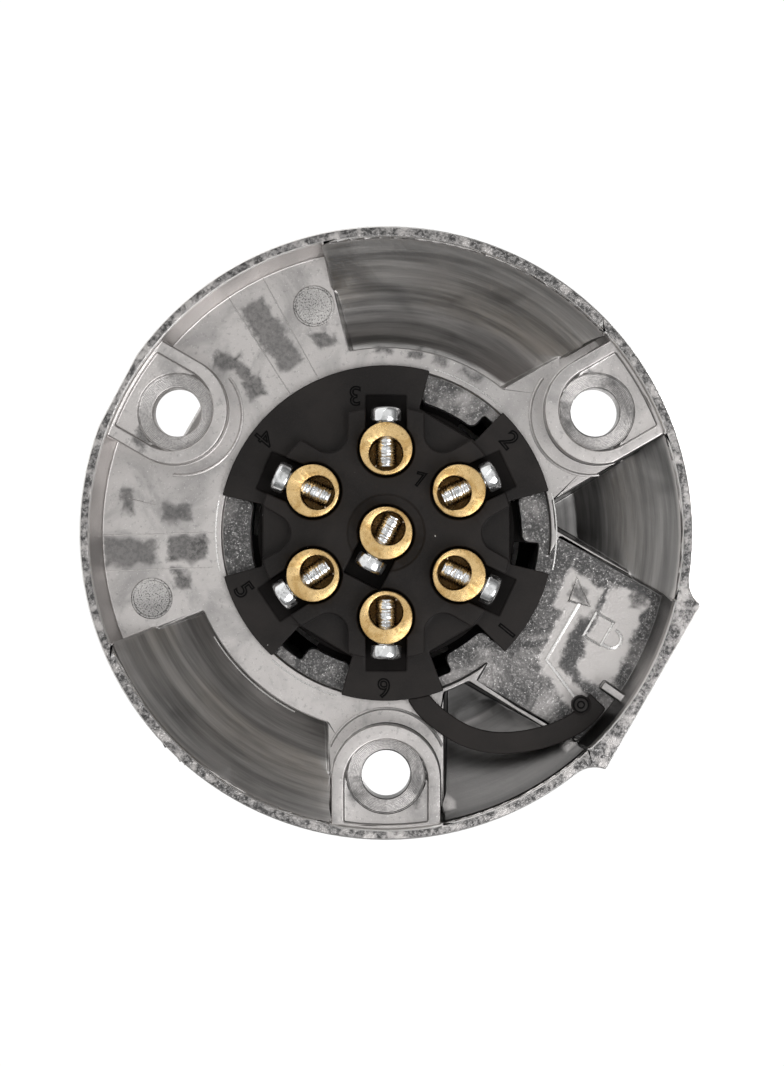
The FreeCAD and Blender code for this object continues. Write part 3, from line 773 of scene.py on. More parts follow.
        # Painted highlight: a bright line on the rim's rounded edges, partly the polish that tumbling leaves and partly
        # a painted glint.
        edge = depth.band(*self.rim_edge_glint) * view.flat_on.band(0.985, 0.93)
        blotch = view.share(self.blotches) * back * grain.band(0.35, 0.62, 1.0, 0.75)
        outer_wall = view.radius.band(*self.outer_wall) * (1.0 - back)
        outside = view.flat_on.band(-0.01, -0.06).most(depth.band(*self.below_floor).most(outer_wall))
        outside = outside * depth.band(*self.off_rim)
        halo = view.share(self.halos)
        speckle = grain * 0.55 + view.pepper * 0.55
        spot_face, rings = self._spot_faces(view)
        colour = sheet.layers(
            self.pale,
            (plateau, self._plateau(view, plateau)),
            (plate, self._plate(view, speckle, halo)),
            (hollow, self._painted_hollow(view)),
            (rim, self._rim(view)),
            (edge, self.bright),
            (blotch, self.dark),
            (outside, self._front(view)),
            (spot_face, self._turned(view, rings)),
        )
        tones = ((rim, 0.28), (plate, 0.3), (hollow, 0.3), (outside, 0.4))
        rough = sheet.layers((0.36,) * 3, *((share, (tone,) * 3) for share, tone in tones))
        coarse = speckle * rim.most(plate * (1.0 - halo * 0.7))
        height = coarse + grain * (1.0 - hollow * 0.8) * 0.35 + rings * spot_face * 0.12
        normal = sheet.bump(height, 0.10, 0.8, sheet.bump(view.cloud, 0.25, 0.35))
        return sheet.dress(colour, rough + grain.band(0.3, 0.8, 0.0, 0.14), normal)

    def _plateau(self, view: RearView, here: Value) -> Value:
        """The pale plateaus with their dark patches."""
        plateau_patch = view.share(self.plateau_patches) * here
        return view.sheet.layers(
            self.pale,
            (view.sheet.noise(55.0, 3.0, 0.55, bend=0.4).band(0.42, 0.66, 0.0, 0.42), self.grey),
            (view.cloud.band(0.46, 0.72, 0.0, 0.7), self.grey),
            (view.pepper.band(0.56, 0.70, 0.0, 0.55), self.grey),
            (view.grain.band(0.63, 0.75, 0.0, 0.6), self.bright),
            (plateau_patch * view.pepper.band(0.35, 0.68, 1.0, 0.72) * view.cloud.band(0.35, 0.62, 1.0, 0.84), self.dark),
        )

    def _plate(self, view: RearView, speckle: Value, halo: Value) -> Value:
        """The speckled plate, pale round the arrow."""
        return view.sheet.layers(
            self.dark,
            (speckle.band(0.5, 0.76), self.grey),
            (view.cloud.band(0.44, 0.74, 0.0, 0.5), self.pale),
            (view.grain.band(0.65, 0.75, 0.0, 0.9), self.bright),
            (halo * 0.9, self.pale),
            (view.share(self.shadows) * view.pepper.band(0.35, 0.7, 1.0, 0.6), self.dark),
        )

    def _rim(self, view: RearView) -> Value:
        """The mottled rim."""
        return view.sheet.layers(
            self.dark,
            (view.pepper.band(0.42, 0.6), self.grey),
            (view.sheet.noise(480.0, 3.0, 0.6).band(0.46, 0.64, 0.0, 0.8), self.pale),
            (view.grain.band(0.64, 0.74), self.bright),
        )

    def _painted_hollow(self, view: RearView) -> Value:
        """The smooth hollows in painted shade and reflection: painted reflection streaks round the axis, darker towards
        two clock angles.
        """
        sheet = view.sheet
        round_axis = [sheet.math(way, view.angle) * 2.4 for way in ("COSINE", "SINE")]
        # Painted reflection streaks that run round the axis.
        reflection_streak = sheet.noise(0.55, 4.0, 0.62, vector=sheet.gather(view.radius * 1.6, *round_axis), bend=0.25)
        broad_reflection = sheet.noise(62.0, 3.0, 0.5, bend=0.5)
        # Painted shade, deepest towards the clock angles 56 and 122.
        painted_shade = view.off_clock(56.0).band(0.66, 0.45, 0.0, 0.88)
        return sheet.layers(
            self.dark,
            (reflection_streak.band(0.3, 0.72, 0.35, 1.0), self.hollow),
            (broad_reflection.band(0.46, 0.7, 0.0, 0.55), self.pale),
            (broad_reflection.band(0.44, 0.3, 0.0, 0.5), self.dark),
            (painted_shade.most(view.off_clock(122.0).band(0.62, 0.4, 0.0, 0.6)), self.dark),
        )

    def _front(self, view: RearView) -> Value:
        """The plain outside, front and barrel."""
        cloud = view.sheet.noise(85.0, 4.0, 0.6, bend=0.6).band(0.4, 0.72, 0.0, 0.5)
        return view.sheet.layers(self.front, (cloud, self.grey), (view.pepper.band(0.56, 0.72, 0.0, 0.4), self.grey))

    def _spot_faces(self, view: RearView) -> tuple[Value, Value]:
        """The share of the turned rings round the bolt holes, and the rings' own height."""
        sheet, radius = view.sheet, view.radius
        third = sheet.math("WRAP", view.angle - math.radians(30.0), math.radians(60.0), math.radians(-60.0))
        reach = sheet.math("COSINE", third) * radius
        squared = sheet.math("POWER", radius, 2.0) + self.hole_radius ** 2 - reach * (2.0 * self.hole_radius)
        from_hole = sheet.math("SQRT", squared.most(0.0))
        here = from_hole.band(self.ring_outer + 0.1, self.ring_outer - 0.1) * view.back
        rings = sheet.math("SINE", from_hole * 34.0 + sheet.noise(700.0, 3.0) * 16.0)
        return here * view.depth.band(*self.boss_top) * view.depth.band(*self.boss_foot), rings

    def _turned(self, view: RearView, rings: Value) -> Value:
        """The shade of the turned rings."""
        shade = (rings * 0.22 + view.grain * 1.1).band(0.32, 0.9)
        return view.sheet.layers(self.grey, (shade, self.pale), (view.cloud.band(0.52, 0.7, 0.0, 0.75), self.dark))


@dataclass(frozen=True)
class MouldedPlastic:
    """Matt black moulded plastic with a fine grain, faint clouding, a little pale dust and painted shade in its deeper
    parts.
    """

    base: Colour = (0.0085, 0.0072, 0.0069)
    worn: Colour = (0.019, 0.0162, 0.0152)
    dust: Colour = (0.55, 0.54, 0.52)
    roughness: float = 0.5
    shine: float = 0.17
    shade_from: float = 4.72

    def material(self, name: str) -> bpy.types.Material:
        """Builds the finish.

        Args:
            name: The material's name.

        Returns:
            The material.
        """
        sheet = ShaderSheet(name, 0.0, self.roughness)
        depth = sheet.split(sheet.place)[1] * -1000.0
        # Painted shade: deeper than shade_from, in the insert's notches and floors, the colour is darkened and the
        # shine dimmed.
        low = depth.band(self.shade_from, self.shade_from + 0.12)
        shine = sheet.math("MULTIPLY_ADD", low, -0.7 * self.shine, self.shine)
        sheet.feed(sheet.shader.inputs["Specular IOR Level"], shine)
        cloud = sheet.noise(110.0, 4.0, 0.6, bend=0.4).band(0.35, 0.7)
        grain = sheet.noise(5200.0, 2.0, 0.6)
        fleck = sheet.noise(1500.0, 1.0, 0.3).band(0.83, 0.86)
        colour = sheet.layers(
            self.base,
            (cloud, self.worn),
            (grain.band(0.4, 0.8, 0.0, 0.5), self.worn),
            (fleck * 0.8, self.dust),
            (low * 0.6, (0.001, 0.001, 0.001)),
        )
        rough = cloud.band(0.0, 1.0, self.roughness, self.roughness + 0.14)
        normal = sheet.bump(grain, 0.02, 0.6, sheet.bump(sheet.noise(700.0, 2.0), 0.02, 0.5))
        return sheet.dress(colour, rough, normal)


@dataclass(frozen=True)
class TurnedBrass:
    """Brass turned on a lathe: fine rings round its own axis and a warm skin, darkened inside the bore by painted
    shade.
    """

    base: Colour = (0.52, 0.33, 0.125)
    pale: Colour = (0.72, 0.51, 0.245)
    dark: Colour = (0.20, 0.115, 0.04)
    roughness: float = 0.27
    rings_per_mm: float = 7.5

    def material(self, name: str, axis: Vector) -> bpy.types.Material:
        """Builds the finish for one contact.

        Args:
            name: The material's name.
            axis: A point of the contact's own axis, which runs along Y.

        Returns:
            The material.
        """
        sheet = ShaderSheet(name, 1.0, self.roughness)
        x, y, z = sheet.split(sheet.place)
        radius = sheet.length((x - axis.x) * 1000.0, (z - axis.z) * 1000.0)
        depth = y * -1000.0
        fine = sheet.noise(1900.0, 2.0, 0.6)
        ripple = radius + depth + sheet.noise(240.0, 2.0) * 0.14
        rings = sheet.math("SINE", ripple * (self.rings_per_mm * 2.0 * math.pi))
        blotch = sheet.noise(420.0, 4.0, 0.65, bend=0.5).band(0.4, 0.68)
        # Painted shade inside the bore.
        bore_shade = radius.band(3.1, 2.8) * depth.band(0.35, 1.6)
        colour = sheet.layers(
            self.pale, (blotch, self.base), (fine.band(0.56, 0.76, 0.0, 0.55), self.dark), (bore_shade * 0.75, self.dark)
        )
        rough = fine.band(0.3, 0.7, self.roughness - 0.05, self.roughness + 0.12)
        return sheet.dress(colour, rough, sheet.bump(rings * 0.5 + fine, 0.012, 0.8))


@dataclass(frozen=True)
class PlatedSteel:
    """Plated or drawn steel: smooth and bright, with faint darker clouding and fine marks."""

    base: Colour = (0.78, 0.79, 0.80)
    dull_and_dark_reflection: Colour = (0.30, 0.30, 0.30)
    roughness: float = 0.1
    grain: float = 1500.0

    def material(self, name: str) -> bpy.types.Material:
        """Builds the finish.

        Args:
            name: The material's name.

        Returns:
            The material.
        """
        sheet = ShaderSheet(name, 1.0, self.roughness)
        cloud = sheet.noise(900.0, 3.0, 0.6, bend=0.4).band(0.45, 0.68)
        fine = sheet.noise(self.grain, 2.0, 0.6)
        rough = fine.band(0.35, 0.75, self.roughness, self.roughness + 0.14)
        # The darker clouding is partly the plating's own tone and partly painted dark reflection.
        return sheet.dress(sheet.blend(cloud * 0.6, self.base, self.dull_and_dark_reflection), rough, sheet.bump(fine, 0.006, 0.4))


@dataclass(frozen=True)
class SealRubber:
    """Matt black rubber with a soft moulded grain."""

    base: Colour = (0.018, 0.018, 0.018)
    chalk: Colour = (0.07, 0.068, 0.066)

    def material(self, name: str) -> bpy.types.Material:
        """Builds the finish.

        Args:
            name: The material's name.

        Returns:
            The material.
        """
        sheet = ShaderSheet(name, 0.0, 0.72)
        sheet.shader.inputs["Specular IOR Level"].default_value = 0.3
        cloud = sheet.noise(160.0, 4.0, 0.6).band(0.45, 0.75)
        grain = sheet.noise(2800.0, 2.0, 0.6)
        colour = sheet.blend(cloud * 0.5, self.base, self.chalk)
        return sheet.dress(colour, grain.band(0.3, 0.7, 0.62, 0.82), sheet.bump(grain, 0.03, 0.6))


# ---- sub-assemblies -----------------------------------------------------------------------------
def seat(shape: bpy.types.Object, body: str, finish: bpy.types.Material | None = None) -> None:
    """Dresses a finished piece, hangs it on its body and reports it.

    Args:
        shape: The piece.
        body: The body that it moves with.
        finish: The material, unless the piece already has one.
    """
    if finish is not None:
        shape.data.materials.clear()
        shape.data.materials.append(finish)
        shape.data.polygons.foreach_set("material_index", [0] * len(shape.data.polygons))
    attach(shape, body)
    LOG.info("%s: %d faces on %s", shape.name, len(shape.data.polygons), body)


@dataclass
class Housing:
    """The die-cast housing with its cast marks."""

    edges: EdgeBreak = EdgeBreak(0.22, 2)
    plate_depth: float = 6.0
    arrow_depth: float = 7.0
    bead: float = 0.26
    fine_bead: float = 0.13
    seam: float = 0.07
    ejector_radius: float = 2.8
    ejector_height: float = 0.14
    arrow_head: tuple[Pair, ...] = ((-7.62, 25.39), (-4.38, 25.99), (-5.19, 28.75))
    arrow_shaft: tuple[Pair, ...] = ((-4.75, 27.34), (4.02, 27.32), (7.13, 34.77))
    lock_place: Pair = (-3.1, 32.7)
    lock_size: Pair = (3.6, 2.7)
    lock_bow: float = 1.25
    ejectors: tuple[Pair, ...] = ((-21.62, -23.76), (23.45, -22.97))
    seams: tuple[tuple[Pair, ...], ...] = (
        ((-17.40, -35.30), (-9.78, -20.62)),
        ((-22.13, -32.70), (-13.37, -18.18)),
        ((20.04, -34.00), (11.61, -20.27)),
        ((24.13, -31.40), (15.70, -17.91)),
        ((13.3, -32.4), (12.3, -28.9), (11.9, -29.6)),
    )
    lands: tuple[Pair, ...] = ((167.0, 193.5), (289.0, 313.0), (348.0, 373.0), (107.5, 133.5))
    land_radius: float = 23.0
    hollow_edge: tuple[float, ...] = (27.3, 331.0, 363.0, 10.9)
    step_radius: float = 8.15
    step_sweep: Pair = (112.0, 248.0)
    hole_circle: float = 32.33

    def build(self, beads: GeometrySheet) -> None:
        """Makes the housing and everything cast on it.

        Args:
            beads: The raised bead tree.
        """
        body = "housing_body"
        skin = HousingCasting().material("housing_casting")
        cast = PlainCasting(base=(0.55, 0.53, 0.52)).material("cast_marks")
        # Painted highlight: the arrow, lock and land-ring beads take a paler, shinier casting that stands in for glints
        # along them.
        bright = PlainCasting(base=(0.86, 0.85, 0.84), dark=(0.55, 0.54, 0.53), roughness=0.24).material("cast_outline_highlight")
        rough = PlainCasting((0.5, 0.485, 0.475), (0.09, 0.09, 0.09), 0.34, 5200.0, 0.8, 0.1).material("cast_speckle")
        seat(self.edges.refine("housing", "housing_casting"), body, skin)
        for name, bead, finish, runs in (
            ("arrow_and_open_lock", self.bead, bright, self._outline()),
            ("boss_steps", self.fine_bead * 1.6, cast, self._boss_steps()),
            ("die_seams", self.seam, cast, self._seams()),
            ("land_rings", self.seam * 1.6, bright, self._land_rings()),
        ):
            seat(beads.follow(name, {"Bead radius": bead}, finish, *runs), body)
        for number, place in enumerate(self.ejectors, 1):
            seat(self._ejector(number, place), body, rough)

    def _outline(self) -> list[Run]:
        """The arrow and the open padlock beside it."""
        depth, (u, v) = self.arrow_depth - self.bead * 0.15, self.lock_place
        half, tall = self.lock_size[0] / 2.0, self.lock_size[1]
        case = [rear(u + a * half, v + b, depth) for a, b in ((-1, 0), (1, 0), (1, -tall), (-1, -tall))]
        bow, middle = self.lock_bow, u + 0.25
        shackle = [rear(middle + bow, v, depth), rear(middle + bow, v + 0.9, depth)]
        shackle += arc((middle, v + 0.9), bow, 0.0, 180.0, depth, 10) + [rear(middle - bow, v + 0.75, depth)]
        head, shaft = ([rear(*place, depth) for place in places] for places in (self.arrow_head, self.arrow_shaft))
        return [(head, True), (shaft, False), (case, True), (shackle, False)]

    def _boss_steps(self) -> list[Run]:
        """The low second step just outside each boss's round end."""
        runs = []
        for clock in (30.0, 150.0, 270.0):
            angle, out = math.radians(clock), self.hole_circle - 0.5
            centre = (out * math.cos(angle), out * math.sin(angle))
            start, end = (clock + sweep for sweep in self.step_sweep)
            runs.append((arc(centre, self.step_radius, start, end, self.plate_depth, 28), False))
        return runs

    def _seams(self) -> list[Run]:
        """The fine lines that the die's inserts leave on the plate."""
        return [([rear(*place, self.plate_depth) for place in seam], False) for seam in self.seams]

    def _land_rings(self) -> list[Run]:
        """The fine double edge round the collar's land, and the right hollow's inner edge, for beads with painted
        glints.
        """
        rings = [(self.land_radius, *land, self.plate_depth) for land in self.lands]
        return [(arc((0.0, 0.0), *ring, 24), False) for ring in (*rings, self.hollow_edge)]

    def _ejector(self, number: int, place: Pair) -> bpy.types.Object:
        """One low round mark left by an ejector pin."""
        radius, height, face = self.ejector_radius, self.ejector_height, self.ejector_height * 0.3
        ridge = [(radius, face), (radius - 0.12, height), (radius - 0.3, height), (radius - 0.42, face)]
        mesh = lathe_mesh("ejector_mark_%d" % number, [(0.0, -0.2), (radius, -0.2), *ridge, (0.0, face)], 48)
        turn = Matrix.Rotation(math.radians(-90.0), 4, "X")
        mesh.transform(Matrix.Translation(rear(*place, self.plate_depth)) @ turn)
        return settled(linked("ejector_draft_%d" % number, mesh), "ejector_mark_%d" % number, 18.0)


@dataclass
class Lid:
    """The sprung lid with its seal, pin and torsion spring."""

    edges: EdgeBreak = EdgeBreak(0.45, 3)
    fine_edges: EdgeBreak = EdgeBreak(0.12, 2)
    wire: float = 0.55
    turn: float = 2.9
    turns: float = 5.0
    pitch: float = 1.45
    leg_x: float = 3.625
    leg_z: float = 27.7
    face_depth: float = 41.98
    face_leg_end: float = 17.65
    web_leg_depth: float = 23.7
    rib_count: int = 7
    rib_pitch: float = 2.3
    rib_depth: float = 36.62
    rib_rise: float = 1.6
    rib_lean: float = 24.0
    ring_radius: float = 19.2
    ring_depth: float = 41.05
    ring_bead: float = 0.35

    def build(self, beads: GeometrySheet, coil: GeometrySheet, wire: GeometrySheet, ribs: GeometrySheet) -> None:
        """Makes the lid's pieces.

        Args:
            beads: The raised bead tree.
            coil: The wound coil tree.
            wire: The bent wire tree.
            ribs: The repeated rib tree.
        """
        cast = PlainCasting(grain=3000.0).material("lid_casting")
        spring = PlatedSteel((0.62, 0.62, 0.61), (0.36, 0.355, 0.35), 0.22).material("spring_wire")
        pin = PlatedSteel((0.68, 0.68, 0.67), (0.42, 0.42, 0.415), 0.26).material("pin_steel")
        seal = SealRubber().material("seal_rubber")
        seat(self.edges.refine("lid", "lid_casting"), "lid_body", cast)
        seat(self.fine_edges.refine("lid_gasket", "lid_seal"), "lid_body", seal)
        seat(self.fine_edges.refine("hinge_pin", "hinge_pin_turned"), "housing_body", pin)
        ring = ([clocked(self.ring_radius, step * 3.75, self.ring_depth) for step in range(96)], True)
        seat(beads.follow("lid_face_ring", {"Bead radius": self.ring_bead}, cast, ring), "lid_body")
        seat(self._grip_ribs(ribs, cast), "lid_body")
        self._spring(coil, wire, spring)

    def _grip_ribs(self, ribs: GeometrySheet, finish: bpy.types.Material) -> bpy.types.Object:
        """Short grip ribs across the lifting lip's front."""
        low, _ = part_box("lid")
        mesh = lathe_mesh("grip_rib", [(0.0, 0.0), (0.2, 0.05), (0.32, 0.3), (0.32, 2.7), (0.2, 2.95), (0.0, 3.0)], 12)
        rib = linked("grip_rib_draft", mesh)
        made = ribs.make("lip_grip_ribs", {"Count": self.rib_count, "Pitch": self.rib_pitch}, finish, rib)
        first = -(self.rib_count - 1) * self.rib_pitch / 2.0
        start = Vector((first * MM, -self.rib_depth * MM, low.z + self.rib_rise * MM))
        lean = Matrix.Rotation(math.radians(self.rib_lean), 4, "X")
        made.data.transform(Matrix.Translation(start) @ lean)
        return made

    def _spring(self, coil: GeometrySheet, wire: GeometrySheet, finish: bpy.types.Material) -> None:
        """The coil and its web leg on the housing, and the leg that lies on the lid."""
        low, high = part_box("hinge_pin")
        centre = Vector((0.0, (low.y + high.y) / 2.0, (low.z + high.z) / 2.0))
        length = self.turns * self.pitch
        sizes = {"Wire radius": self.wire, "Turn radius": self.turn, "Turns": self.turns, "Length": length}
        wound = coil.make("lid_spring_coil", sizes, finish)
        side = Matrix.Rotation(math.radians(90.0), 4, "Y")
        wound.data.transform(Matrix.Translation(centre + Vector((-length / 2.0 * MM, 0.0, 0.0))) @ side)
        seat(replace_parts(wound, "lid_spring"), "housing_body")
        x, z, face = self.leg_x * MM, self.leg_z * MM, -self.face_depth * MM
        web = [(x, centre.y, z), (x, centre.y + 4.0 * MM, z), (x, -self.web_leg_depth * MM, z)]
        leg = [(-x, centre.y, z), (-x, face, z), (-x, face, self.face_leg_end * MM)]
        bends = {"Wire radius": self.wire, "Bend radius": 0.9}
        for name, places, body in (("web", web, "housing_body"), ("face", leg, "lid_body")):
            run = ([Vector(place) for place in places], False)
            seat(wire.follow("lid_spring_%s_leg" % name, bends, finish, run), body)


@dataclass(frozen=True)
class TerminalNumber:
    """A terminal's number moulded on the insert, in rear-view millimetres."""

    text: str
    u: float
    v: float
    up: float
    depth: float = 4.63
    tall: float = 2.6


@dataclass
class ContactInsert:
    """The moulded insert, its latch arm and its terminal numbers."""

    edges: EdgeBreak = EdgeBreak(0.16, 2)
    arm_edges: EdgeBreak = EdgeBreak(0.2, 2)
    stroke: float = 0.1
    nub_place: Pair = (34.9, 78.6)
    nub_top: float = 3.32
    nub_rings: Pair = (1.0, 0.45)
    nub_bead: float = 0.11
    numbers: tuple[TerminalNumber, ...] = (
        TerminalNumber("1", 3.2, 20.5, 81.0),
        TerminalNumber("2", -19.05, 8.09, 160.0),
        TerminalNumber("3", -14.01, -12.94, 30.0),
        TerminalNumber("4", -2.9, -20.7, 80.0),
        TerminalNumber("5", 16.3, -12.8, 155.0),
        TerminalNumber("6", 18.1, 10.1, 30.0),
        TerminalNumber("7", -8.4, 0.4, 196.0, 3.0, 2.0),
    )

    def build(self, beads: GeometrySheet) -> None:
        """Makes the insert's pieces.

        Args:
            beads: The raised bead tree.
        """
        plastic = MouldedPlastic().material("moulded_plastic")
        seat(self.edges.refine("contact_insert", "insert_moulding"), "insert_body", plastic)
        seat(self.arm_edges.refine("latch_arm", "latch_arm_moulding"), "insert_body", plastic)
        # Painted shade: the numbers and the nub rings take a blacker, duller plastic that stands in for the shade along
        # their raised strokes.
        shaded_number_plastic = MouldedPlastic((0.001, 0.001, 0.001), (0.003, 0.003, 0.003), shine=0.06).material("moulded_numbers")
        for number in self.numbers:
            seat(self._number(number), "insert_body", shaded_number_plastic)
        seat(self._nub_ring(beads, shaded_number_plastic), "insert_body")

    def _nub_ring(self, beads: GeometrySheet, finish: bpy.types.Material) -> bpy.types.Object:
        """The fine rings on the latch arm's finger nub."""
        angle = math.radians(self.nub_place[1])
        centre = (self.nub_place[0] * math.cos(angle), self.nub_place[0] * math.sin(angle))
        runs = [(arc(centre, radius, 0.0, 345.0, self.nub_top, 23), True) for radius in self.nub_rings]
        return beads.follow("latch_nub_rings", {"Bead radius": self.nub_bead}, finish, *runs)

    def _number(self, number: TerminalNumber) -> bpy.types.Object:
        """One number as a fine raised outline."""
        text = bpy.data.curves.new("number_" + number.text, "FONT")
        text.body, text.size = number.text, number.tall * 1.38 * MM
        text.align_x, text.align_y = "CENTER", "CENTER"
        text.fill_mode, text.resolution_u = "NONE", 4
        text.bevel_depth, text.bevel_resolution = self.stroke * MM, 1
        mesh = evaluated(linked("number_draft_" + number.text, text))
        turn = upright(clock_way(number.up - 90.0), clock_way(number.up), BACK)
        mesh.transform(Matrix.Translation(rear(number.u, number.v, number.depth)) @ turn)
        return settled(linked("number_mesh_" + number.text, mesh), "terminal_number_" + number.text, 50.0)


@dataclass
class Terminals:
    """The seven brass contacts and their threaded clamp screws."""

    edges: EdgeBreak = EdgeBreak(0.14, 2)
    count: int = 7
    core: float = 1.3
    crest: float = 1.45
    pitch: float = 0.35
    head_radius: float = 2.1
    head_start: float = 3.67
    head_length: float = 2.0
    tip: float = -2.35
    slot_width: float = 0.7
    slot_depth: float = 0.8

    def build(self, shank: GeometrySheet, joints: Sequence[dict[str, Any]]) -> None:
        """Makes each contact and its screw.

        Args:
            shank: The threaded shank tree.
            joints: The record's joints, which give the screws' directions.
        """
        zinc = PlatedSteel().material("zinc_plate")
        ways = {joint["child"]: Vector(joint["axis"]) for joint in joints}
        for number in range(1, self.count + 1):
            low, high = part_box("contact_%d" % number)
            centre = (low + high) / 2.0
            brass = TurnedBrass().material("turned_brass_%d" % number, centre)
            contact = self.edges.refine("contact_%d" % number, "contact_%d_turned" % number)
            seat(contact, "insert_body", brass)
            body = "clamp_screw_%d_body" % number
            seat(self._screw(number, shank, centre, ways[body], zinc), body, zinc)

    def _screw(
        self, number: int, shank: GeometrySheet, centre: Vector, way: Vector, finish: bpy.types.Material
    ) -> bpy.types.Object:
        """One clamp screw with its thread and slotted head.

        Args:
            number: The contact's number.
            shank: The threaded shank tree.
            centre: A point of the contact's axis.
            way: The direction that the screw backs out in.
            finish: The zinc plate.

        Returns:
            The screw, standing for its CAD node.
        """
        low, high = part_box("clamp_screw_%d" % number)
        length = self.head_start + 0.3 - self.tip
        sizes = {"Core radius": self.core, "Crest radius": self.crest, "Pitch": self.pitch, "Length": length}
        threaded = shank.make("thread_%d" % number, sizes, finish)
        threaded.data.transform(Matrix.Translation((0.0, 0.0, self.tip * MM)))
        bm = bmesh.new()
        for used in (threaded, self._head(number)):
            bm.from_mesh(used.data)
            bpy.data.objects.remove(used)
        name = "clamp_screw_%d_threaded" % number
        mesh = from_bmesh(name, bm)
        start = Vector((centre.x, (low.y + high.y) / 2.0, centre.z))
        mesh.transform(Matrix.Translation(start) @ upright(BACK.cross(way), BACK, way))
        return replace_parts(settled(linked("screw_draft", mesh), name, 35.0), "clamp_screw_%d" % number)

    def _head(self, number: int) -> bpy.types.Object:
        """A rounded cheese head with a slot, along local Z."""
        radius, start, end = self.head_radius, self.head_start, self.head_start + self.head_length
        under = [(0.0, start), (radius - 0.28, start), (radius - 0.08, start + 0.09), (radius, start + 0.3)]
        over = [(radius, end - 0.62), (radius - 0.09, end - 0.3), (radius - 0.34, end - 0.08), (radius - 0.7, end)]
        head = linked("screw_head_%d" % number, lathe_mesh("screw_head_%d" % number, under + over + [(0.0, end)], 48))
        bm = bmesh.new()
        bmesh.ops.create_cube(bm, size=1.0)
        for vert in bm.verts:
            x, y, z = vert.co
            vert.co = (x * 3.0 * radius * MM, y * self.slot_width * MM, (z * 2.0 * self.slot_depth + end) * MM)
        tool = linked("slot_tool", from_bmesh("slot_tool", bm))
        cut = head.modifiers.new("slot", "BOOLEAN")
        cut.operation, cut.object, cut.solver = "DIFFERENCE", tool, "EXACT"
        slotted = settled(head, "slotted_head_%d" % number, 35.0)
        bpy.data.objects.remove(tool)
        return slotted


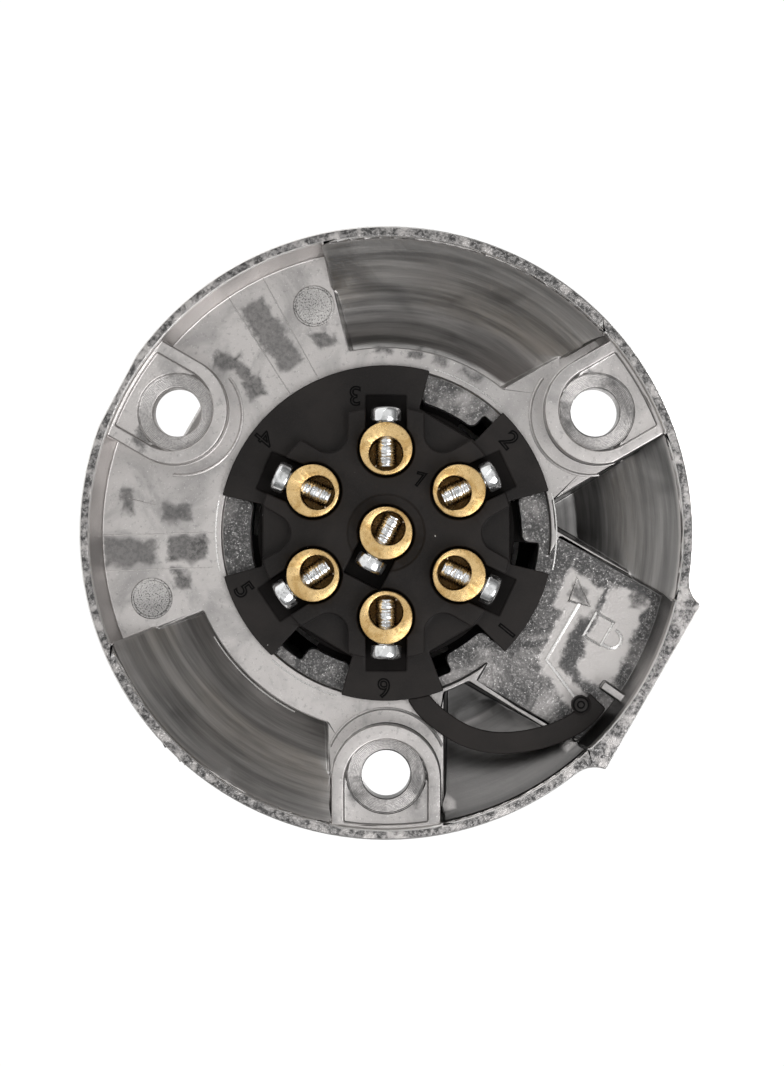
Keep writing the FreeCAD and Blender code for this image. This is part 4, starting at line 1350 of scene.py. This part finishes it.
# ---- studio -------------------------------------------------------------------------------------
@dataclass
class Studio:
    """Pale floor, soft light and the camera."""

    distance: float = 0.570
    lens: float = 144.17
    aside: float = 0.00079
    roll: float = 30.0
    floor_drop: float = 0.140
    floor_radius: float = 0.34

    def build(self) -> None:
        """Makes the camera, the lights, the surroundings and the floor."""
        roll = math.radians(self.roll)
        right = Vector((math.sin(roll), 0.0, math.cos(roll)))
        up = Vector((math.cos(roll), 0.0, -math.sin(roll)))
        data = bpy.data.cameras.new("socket_camera")
        data.sensor_fit, data.sensor_width, data.lens = "AUTO", 36.0, self.lens
        data.clip_start, data.clip_end = 0.05, 20.0
        camera = linked("socket_camera", data)
        place = Matrix.Translation(BACK * self.distance + right * self.aside)
        camera.matrix_world = place @ upright(right, up, BACK)
        bpy.context.scene.camera = camera
        bpy.context.scene.view_settings.view_transform = "Standard"
        self._light("key_softbox", BACK * 0.42 + up * 0.34 - right * 0.22, 0.34, 5.0)
        self._light("fill_softbox", BACK * 0.46 - up * 0.3 + right * 0.3, 0.4, 2.4)
        self._light("front_softbox", -BACK * 0.45 + Vector((0.25, 0.0, 0.4)), 0.4, 6.0)
        self._surroundings()
        self._floor()

    def _light(self, name: str, place: Vector, size: float, power: float) -> None:
        """A square soft light aimed at the socket."""
        data = bpy.data.lights.new(name, "AREA")
        data.size, data.energy = size, power
        light = linked(name, data)
        light.location = place
        light.rotation_mode = "QUATERNION"
        light.rotation_quaternion = (-place).to_track_quat("-Z", "Y")

    def _surroundings(self) -> None:
        """White to look at, and a soft grey gradient in reflections."""
        world = bpy.data.worlds.new("studio")
        bpy.context.scene.world = world
        world.use_nodes = True
        tree = world.node_tree
        tree.nodes.clear()
        kinds = "OutputWorld TexCoord SeparateXYZ Math ValToRGB Background Background LightPath MixShader"
        made = (tree.nodes.new("ShaderNode" + kind) for kind in kinds.split())
        out, coords, split, along, ramp, lit, seen, path, choose = made
        along.operation = "ABSOLUTE"
        ramp.color_ramp.interpolation = "EASE"
        stops = ((0.0, 0.28), (0.3, 0.2), (0.62, 0.45), (0.86, 1.0), (1.0, 0.92))
        while len(ramp.color_ramp.elements) < len(stops):
            ramp.color_ramp.elements.new(0.5)
        for element, (place, value) in zip(ramp.color_ramp.elements, stops):
            element.position = place
            element.color = (value, value * 0.995, value * 0.985, 1.0)
        lit.inputs["Strength"].default_value = 0.9
        seen.inputs["Color"].default_value = (1.0, 1.0, 1.0, 1.0)
        seen.inputs["Strength"].default_value = 1.05
        for source, target in (
            (coords.outputs["Generated"], split.inputs[0]),
            (split.outputs["Y"], along.inputs[0]),
            (along.outputs[0], ramp.inputs[0]),
            (ramp.outputs[0], lit.inputs["Color"]),
            (path.outputs["Is Camera Ray"], choose.inputs[0]),
            (lit.outputs[0], choose.inputs[1]),
            (seen.outputs[0], choose.inputs[2]),
            (choose.outputs[0], out.inputs["Surface"]),
        ):
            tree.links.new(source, target)

    def _floor(self) -> None:
        """A round pale floor some way below the socket."""
        radius, thick = self.floor_radius / MM, 4.0
        profile = [(0.0, -thick), (radius, -thick), (radius, -1.0), (radius - 1.0, 0.0), (0.0, 0.0)]
        mesh = lathe_mesh("pale_floor", profile, 96)
        floor = settled(linked("floor_draft", mesh), "pale_floor", 30.0)
        floor.location = (0.0, 0.0, -self.floor_drop)
        sheet = ShaderSheet("floor_paper", 0.0, 0.7)
        paper = sheet.blend(sheet.noise(30.0), (0.82, 0.82, 0.81), (0.88, 0.88, 0.87))
        floor.data.materials.append(sheet.dress(paper))
        floor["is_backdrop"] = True


def corners() -> list[list[float]]:
    """The shown object's lowest and highest corners, as plain lists."""
    return [list(corner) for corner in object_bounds()]


def main() -> None:
    """Builds the socket piece by piece."""
    logging.basicConfig(level=logging.INFO, format="%(name)s %(message)s")
    bpy.ops.wm.read_factory_settings(use_empty=True)
    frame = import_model()
    beads = raised_bead_tree()
    Housing().build(beads)
    Lid().build(beads, wire_coil_tree(), bent_wire_tree(), repeated_rib_tree())
    ContactInsert().build(beads)
    Terminals().build(threaded_shank_tree(), frame["joints"])
    Studio().build()


if __name__ == "__main__":
    main()
